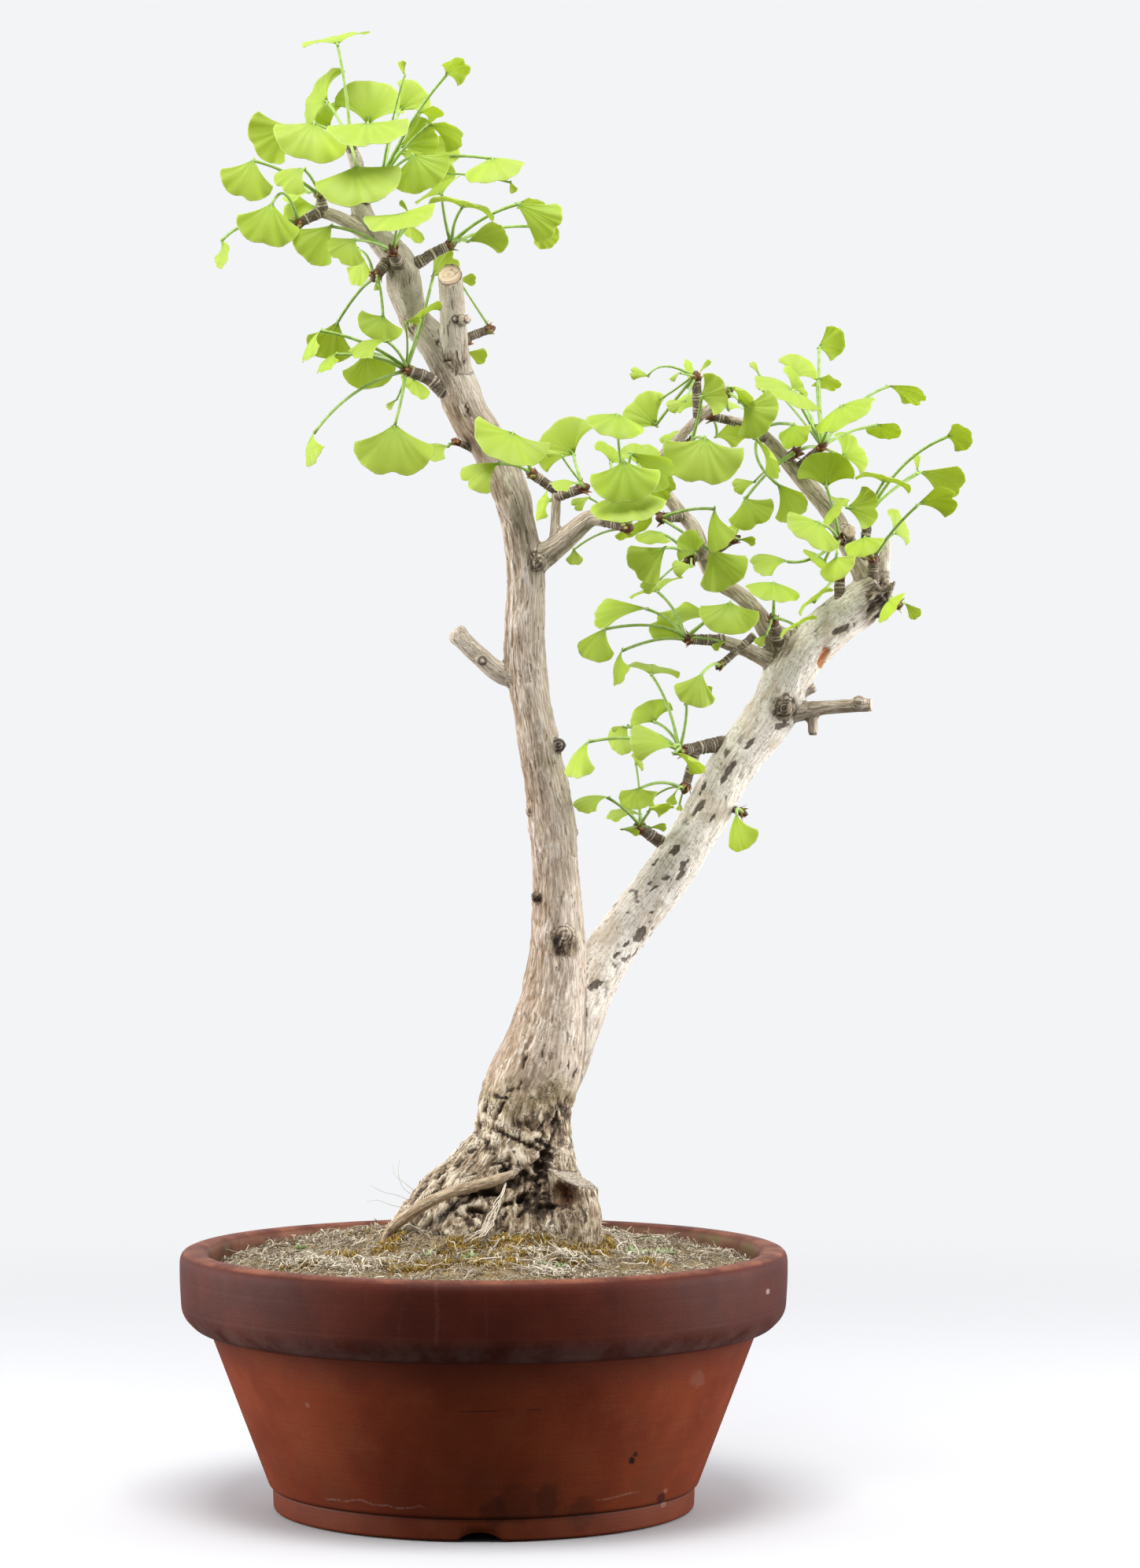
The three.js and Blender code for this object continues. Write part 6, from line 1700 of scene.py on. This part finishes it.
def make_soil():
    """A closed turned body: up the cavity's wall, then in over the heap to its middle."""
    floor_radius = wall_at(FLOOR_TOP) - WALL
    wall = np.array([(floor_radius - 6, FLOOR_TOP + 1), (floor_radius - 1, FLOOR_TOP + 5),
                     (wall_at(BODY_TOP - 4) - WALL - 1, BODY_TOP - 4),
                     (RIM_INNER_RADIUS - 1, BAND_FOOT + 6)])
    reach = np.concatenate([wall[:, 0], np.linspace(RIM_INNER_RADIUS - 0.8, 3, 90)])[:, None]
    x, y = reach * np.cos(POT_ANGLES), reach * np.sin(POT_ANGLES)
    z = soil_height(x, y)
    z[:len(wall)] = wall[:, 1:]
    points, faces = capped(np.stack([x, y, z], -1))
    moss = np.concatenate([moss_at(x, y).ravel(), [0, 0]])
    shell = Shell()
    shell.add(points, faces, moss=moss)
    shell.piece("soil_heap", crumb(), "soil", "soil")


def lying(starts, salt, long, thick, rows, curl=2.2, stick=0.06):
    """Strands that lie over the heap. Each begins at its start, turns steadily as it runs,
    follows the heap's height, arches over its neighbours, and now and then sticks up."""
    index = np.arange(len(starts))
    length = long[0] + (long[1] - long[0]) * draw(index, salt + 2) ** 1.8
    u = np.linspace(0, 1, rows)
    bend = curl * (draw(index, salt + 3) - 0.5) * 2
    wiggle = 0.9 * (draw(index, salt + 4) - 0.5)
    heading = (2 * np.pi * draw(index, salt + 5)[:, None] + bend[:, None] * u
               + wiggle[:, None] * np.sin(7 * u + index[:, None]))
    step = length[:, None] / (rows - 1)
    x = starts[:, :1] + np.cumsum(np.cos(heading) * step, axis=1)
    y = starts[:, 1:] + np.cumsum(np.sin(heading) * step, axis=1)
    out = np.hypot(x, y)
    keep = np.minimum(1, STRAND_REACH / np.maximum(out, 1))
    x, y = x * keep, y * keep
    rise = 0.4 + 2.2 * draw(index, salt + 6)[:, None]
    arch = 3.2 * draw(index, salt + 7)[:, None] ** 2 * 4 * u * (1 - u)
    upright = (draw(index, salt + 8) < stick)[:, None] * 7 * draw(index, salt + 9)[:, None] * u
    z = soil_height(x, y) + rise + arch + upright
    radii = (thick[0] + (thick[1] - thick[0]) * draw(index, salt + 10) ** 2)[:, None]
    radii = radii * (0.35 + 0.65 * (1 - np.abs(2 * u - 1) ** 3))
    return np.stack([x, y, z], -1), radii


def over_heap(count, salt):
    """Evenly drawn places on the whole heap."""
    index = np.arange(count)
    r, angle = STRAND_REACH * np.sqrt(draw(index, salt)), 2 * np.pi * draw(index, salt + 1)
    return np.stack([r * np.cos(angle), r * np.sin(angle)], -1)


def in_clumps(count, salt):
    """Places drawn in the bleached clumps, closer towards each clump's middle."""
    index = np.arange(count)
    middle = np.array(BLEACHED)[index % len(BLEACHED)]
    r, angle = middle[:, 2] * draw(index, salt) ** 0.8, 2 * np.pi * draw(index, salt + 1)
    return middle[:, :2] + np.stack([r * np.cos(angle), 0.7 * r * np.sin(angle)], -1)


def make_straw():
    """Dried moss strands: short and long ones all over the heap, grey-brown to pale, and
    bleached ones in clumps. None lies inside the flare's oval."""
    shell = Shell()
    for starts, salt, long, thick, rows, curl, pale in (
            (over_heap(6600, 200), 200, (2.5, 8), (0.22, 0.62), 3, 1.6, 0.0),
            (over_heap(900, 240), 240, (9, 24), (0.25, 0.6), 7, 3.6, 0.1),
            (in_clumps(1100, 270), 270, (5, 14), (0.3, 0.62), 5, 3.2, 0.55)):
        paths, radii = lying(starts, salt, long, thick, rows, curl)
        keep = flare_oval(*paths.mean(axis=1).T[:2]) > 1
        paths, radii = paths[keep], radii[keep]
        tone = np.clip(draw(np.arange(len(paths)), salt + 11) ** 1.3 * 0.9 + pale, 0, 1)
        points, faces = strands(paths, radii)
        shell.add(points, faces, tone=np.repeat(tone, paths.shape[1] * 3))
    shell.piece("straw", plain("straw", "67543a", "f0e7d3", 0.8, 0.9, "cdb888"), "soil")


def make_moss():
    """Short fibres that stand close together on each moss cushion, leaning every way."""
    index = np.arange(MOSS_DRAWS)
    x = -130 + 230 * draw(index, 301)
    y = -125 + 215 * draw(index, 302)
    keep = np.flatnonzero(moss_at(x, y) > 0.25 + 0.5 * draw(index, 308))[:MOSS_FIBRES]
    index, x, y = index[keep], x[keep], y[keep]
    u = np.linspace(0, 1, 3)
    heading = 2 * np.pi * draw(index, 303)
    lean = 0.9 * draw(index, 304)
    length = 1.2 + 1.8 * draw(index, 305)
    out = (length * np.sin(lean))[:, None] * u ** 1.5
    px = x[:, None] + np.cos(heading)[:, None] * out
    py = y[:, None] + np.sin(heading)[:, None] * out
    pz = soil_height(x, y)[:, None] - 0.3 + (length * np.cos(lean))[:, None] * u
    radii = np.array([0.34, 0.4, 0.16])[None] * (0.7 + 0.6 * draw(index, 306))[:, None]
    points, faces = strands(np.stack([px, py, pz], -1), radii)
    shell = Shell()
    shell.add(points, faces, tone=np.repeat(draw(index, 307), 9))
    shell.piece("moss", plain("moss", "5c4413", "cfae52", 0.85, 0.3, "b8922e"), "soil")


# The line that the pale rootlets hang along, in front of the flare: x, depth, z.
ROOTLET_LINE = [[13, -32, 191], [11.5, -38, 186], [9, -44, 180], [6, -49, 172], [3.5, -52, 166],
                [-1, -58, 161], [-7, -66, 156.5]]
ROOTLET_COUNT = 9
# Hair roots that stand out at the flare's left: x, depth, z.
HAIR_ROOTS = [
    [[-38, -20, 181], [-49, -22, 190], [-51, -22, 198], [-50, -20, 206]],
    [[-40, -22, 179], [-52, -24, 184], [-60, -26, 186], [-68, -26, 190]],
    [[-38, -20, 184], [-47, -22, 191], [-53, -20, 196], [-54, -18, 203]],
    [[-44, -20, 176], [-55, -22, 178], [-64, -24, 181], [-70, -24, 180]],
]


def make_rootlets():
    """Thin tubes: the rootlets leave the line by a steadily growing amount as they hang and
    wander by noise, and each stops at its own share of it; the hair roots keep their points."""
    shell = Shell()
    trunk_line = smooth_path(lined(*np.array(ROOTLET_LINE, float).T), 1.0)
    for number in range(ROOTLET_COUNT):
        start = int(draw(number, 133) ** 2 * 0.55 * len(trunk_line))
        end = int((0.7 + 0.3 * draw(number, 134)) * len(trunk_line)) if number else len(trunk_line)
        path = trunk_line[start:end]
        share = np.linspace(0, 1, len(path))[:, None]
        aside = 16 * (draw(number, 135) - 0.5) * share ** 1.3 * (number > 0)
        wild = np.stack([noise(path / 4.5, 131 + 3 * number + axis) - 0.5 for axis in range(3)], -1)
        path = path + aside * [1, 0.2, 0.1] + [5, 2.5, 3] * wild * share ** 0.5
        radius = 0.42 if number == 0 else 0.2 + 0.14 * draw(number, 136)
        points, faces = tube(path, radius * (1 - 0.6 * share[:, 0] ** 2), 6)
        shell.add(points, faces, tone=0.5 + 0.5 * draw(number, 132))
    for line in HAIR_ROOTS:
        path = smooth_path(lined(*np.array(line, float).T), 1.2)
        points, faces = tube(path, 0.18 * (1 - 0.6 * np.linspace(0, 1, len(path))), 5)
        shell.add(points, faces, tone=0.3)
    shell.piece("rootlets", plain("rootlet", "a89679", "ddd5c4", 0.7, 0.5), "bark")


# Green sprigs: middle x, y.
SPRIGS = [(-97, -62), (-32, -66), (-6, -84), (37, -96), (47, -94), (86, -30), (96, -26),
          (104, -24), (110, -14), (92, -36), (-60, 70), (40, 90), (100, 40), (-110, 10)]
SPRIG_LEAVES = 7


def make_sprigs():
    """Tufts of small pointed leaves that lean out of one foot."""
    index = np.arange(len(SPRIGS) * SPRIG_LEAVES)
    middle = np.repeat(np.array(SPRIGS, float), SPRIG_LEAVES, axis=0)
    heading = 2 * np.pi * (index % SPRIG_LEAVES) / SPRIG_LEAVES + draw(index, 141)
    length = 3.5 + 3.0 * draw(index, 142)
    lean = 0.35 + 0.7 * draw(index, 143)
    u = np.linspace(0, 1, 5)
    out = (length * np.sin(lean))[:, None] * u
    x = middle[:, :1] + 2.5 * (draw(index, 144)[:, None] - 0.5) + np.cos(heading)[:, None] * out
    y = middle[:, 1:] + 2.5 * (draw(index, 145)[:, None] - 0.5) + np.sin(heading)[:, None] * out
    z = soil_height(x[:, 0], y[:, 0])[:, None] + 0.5 + (length * np.cos(lean))[:, None] * u
    radii = np.array([0.25, 0.75, 0.95, 0.6, 0.1])[None] * (0.8 + 0.5 * draw(index, 146))[:, None]
    points, faces = strands(np.stack([x, y, z], -1), radii, 4)
    shell = Shell()
    shell.add(points, faces, tone=np.repeat(draw(index, 147), 20))
    shell.piece("sprigs", plain("sprig", "859a63", "bfcd9c", 0.6, 0.6, "a9c46a"), "soil")


# ----------------------------------------------------------------------------- the studio

# Soft lights: name, place, size and power.
LIGHTS = [
    ("left_softbox", (-1700, -50, 450), 1300, 43),
    ("right_softbox", (1700, -50, 450), 1300, 43),
    ("top_softbox", (0, -900, 2360), 1200, 62),
]
LIT_PLACE = (30, 0, 430)


def make_studio():
    """A plain pale floor, a plain pale background, soft lights and the camera."""
    scene = bpy.context.scene
    scene.view_settings.view_transform = "Standard"
    scene.world = studio_air()
    for name, place, size, power in LIGHTS:
        data = bpy.data.lights.new(name, "AREA")
        data.shape, data.size, data.energy = "SQUARE", size * MM, power
        lamp = bpy.data.objects.new(name, data)
        scene.collection.objects.link(lamp)
        start, end = Vector(in_frame(place)), Vector(in_frame(LIT_PLACE))
        lamp.location = start
        lamp.rotation_euler = (end - start).to_track_quat("-Z", "Y").to_euler()

    angle = 2 * np.pi * np.arange(96) / 96
    reach = np.array([0.0, 200, 500, 1000, 1700])[:, None]
    rings = np.stack([reach * np.cos(angle), reach * np.sin(angle), -0.4 + 0 * reach * angle], -1)
    mesh = bpy.data.meshes.new("floor")
    mesh.from_pydata(in_frame(rings.reshape(-1, 3)).tolist(), [],
                     grid_faces(5, 96, closed=True)[:, ::-1].tolist())
    mesh.materials.append(studio_floor())
    floor = bpy.data.objects.new("floor", mesh)
    scene.collection.objects.link(floor)

    data = bpy.data.cameras.new("camera")
    data.lens, data.sensor_width, data.clip_end = LENS, SENSOR, 50
    camera = bpy.data.objects.new("camera", data)
    scene.collection.objects.link(camera)
    camera.location = in_frame(EYE)
    camera.rotation_euler = (math.pi / 2, 0, 0)
    scene.camera = camera


make_studio()
make_pot()
make_tree()
make_spurs()
make_foliage()
make_soil()
make_straw()
make_moss()
make_rootlets()
make_sprigs()
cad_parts["drain_mesh"].material_slots[0].material = woven_plastic()
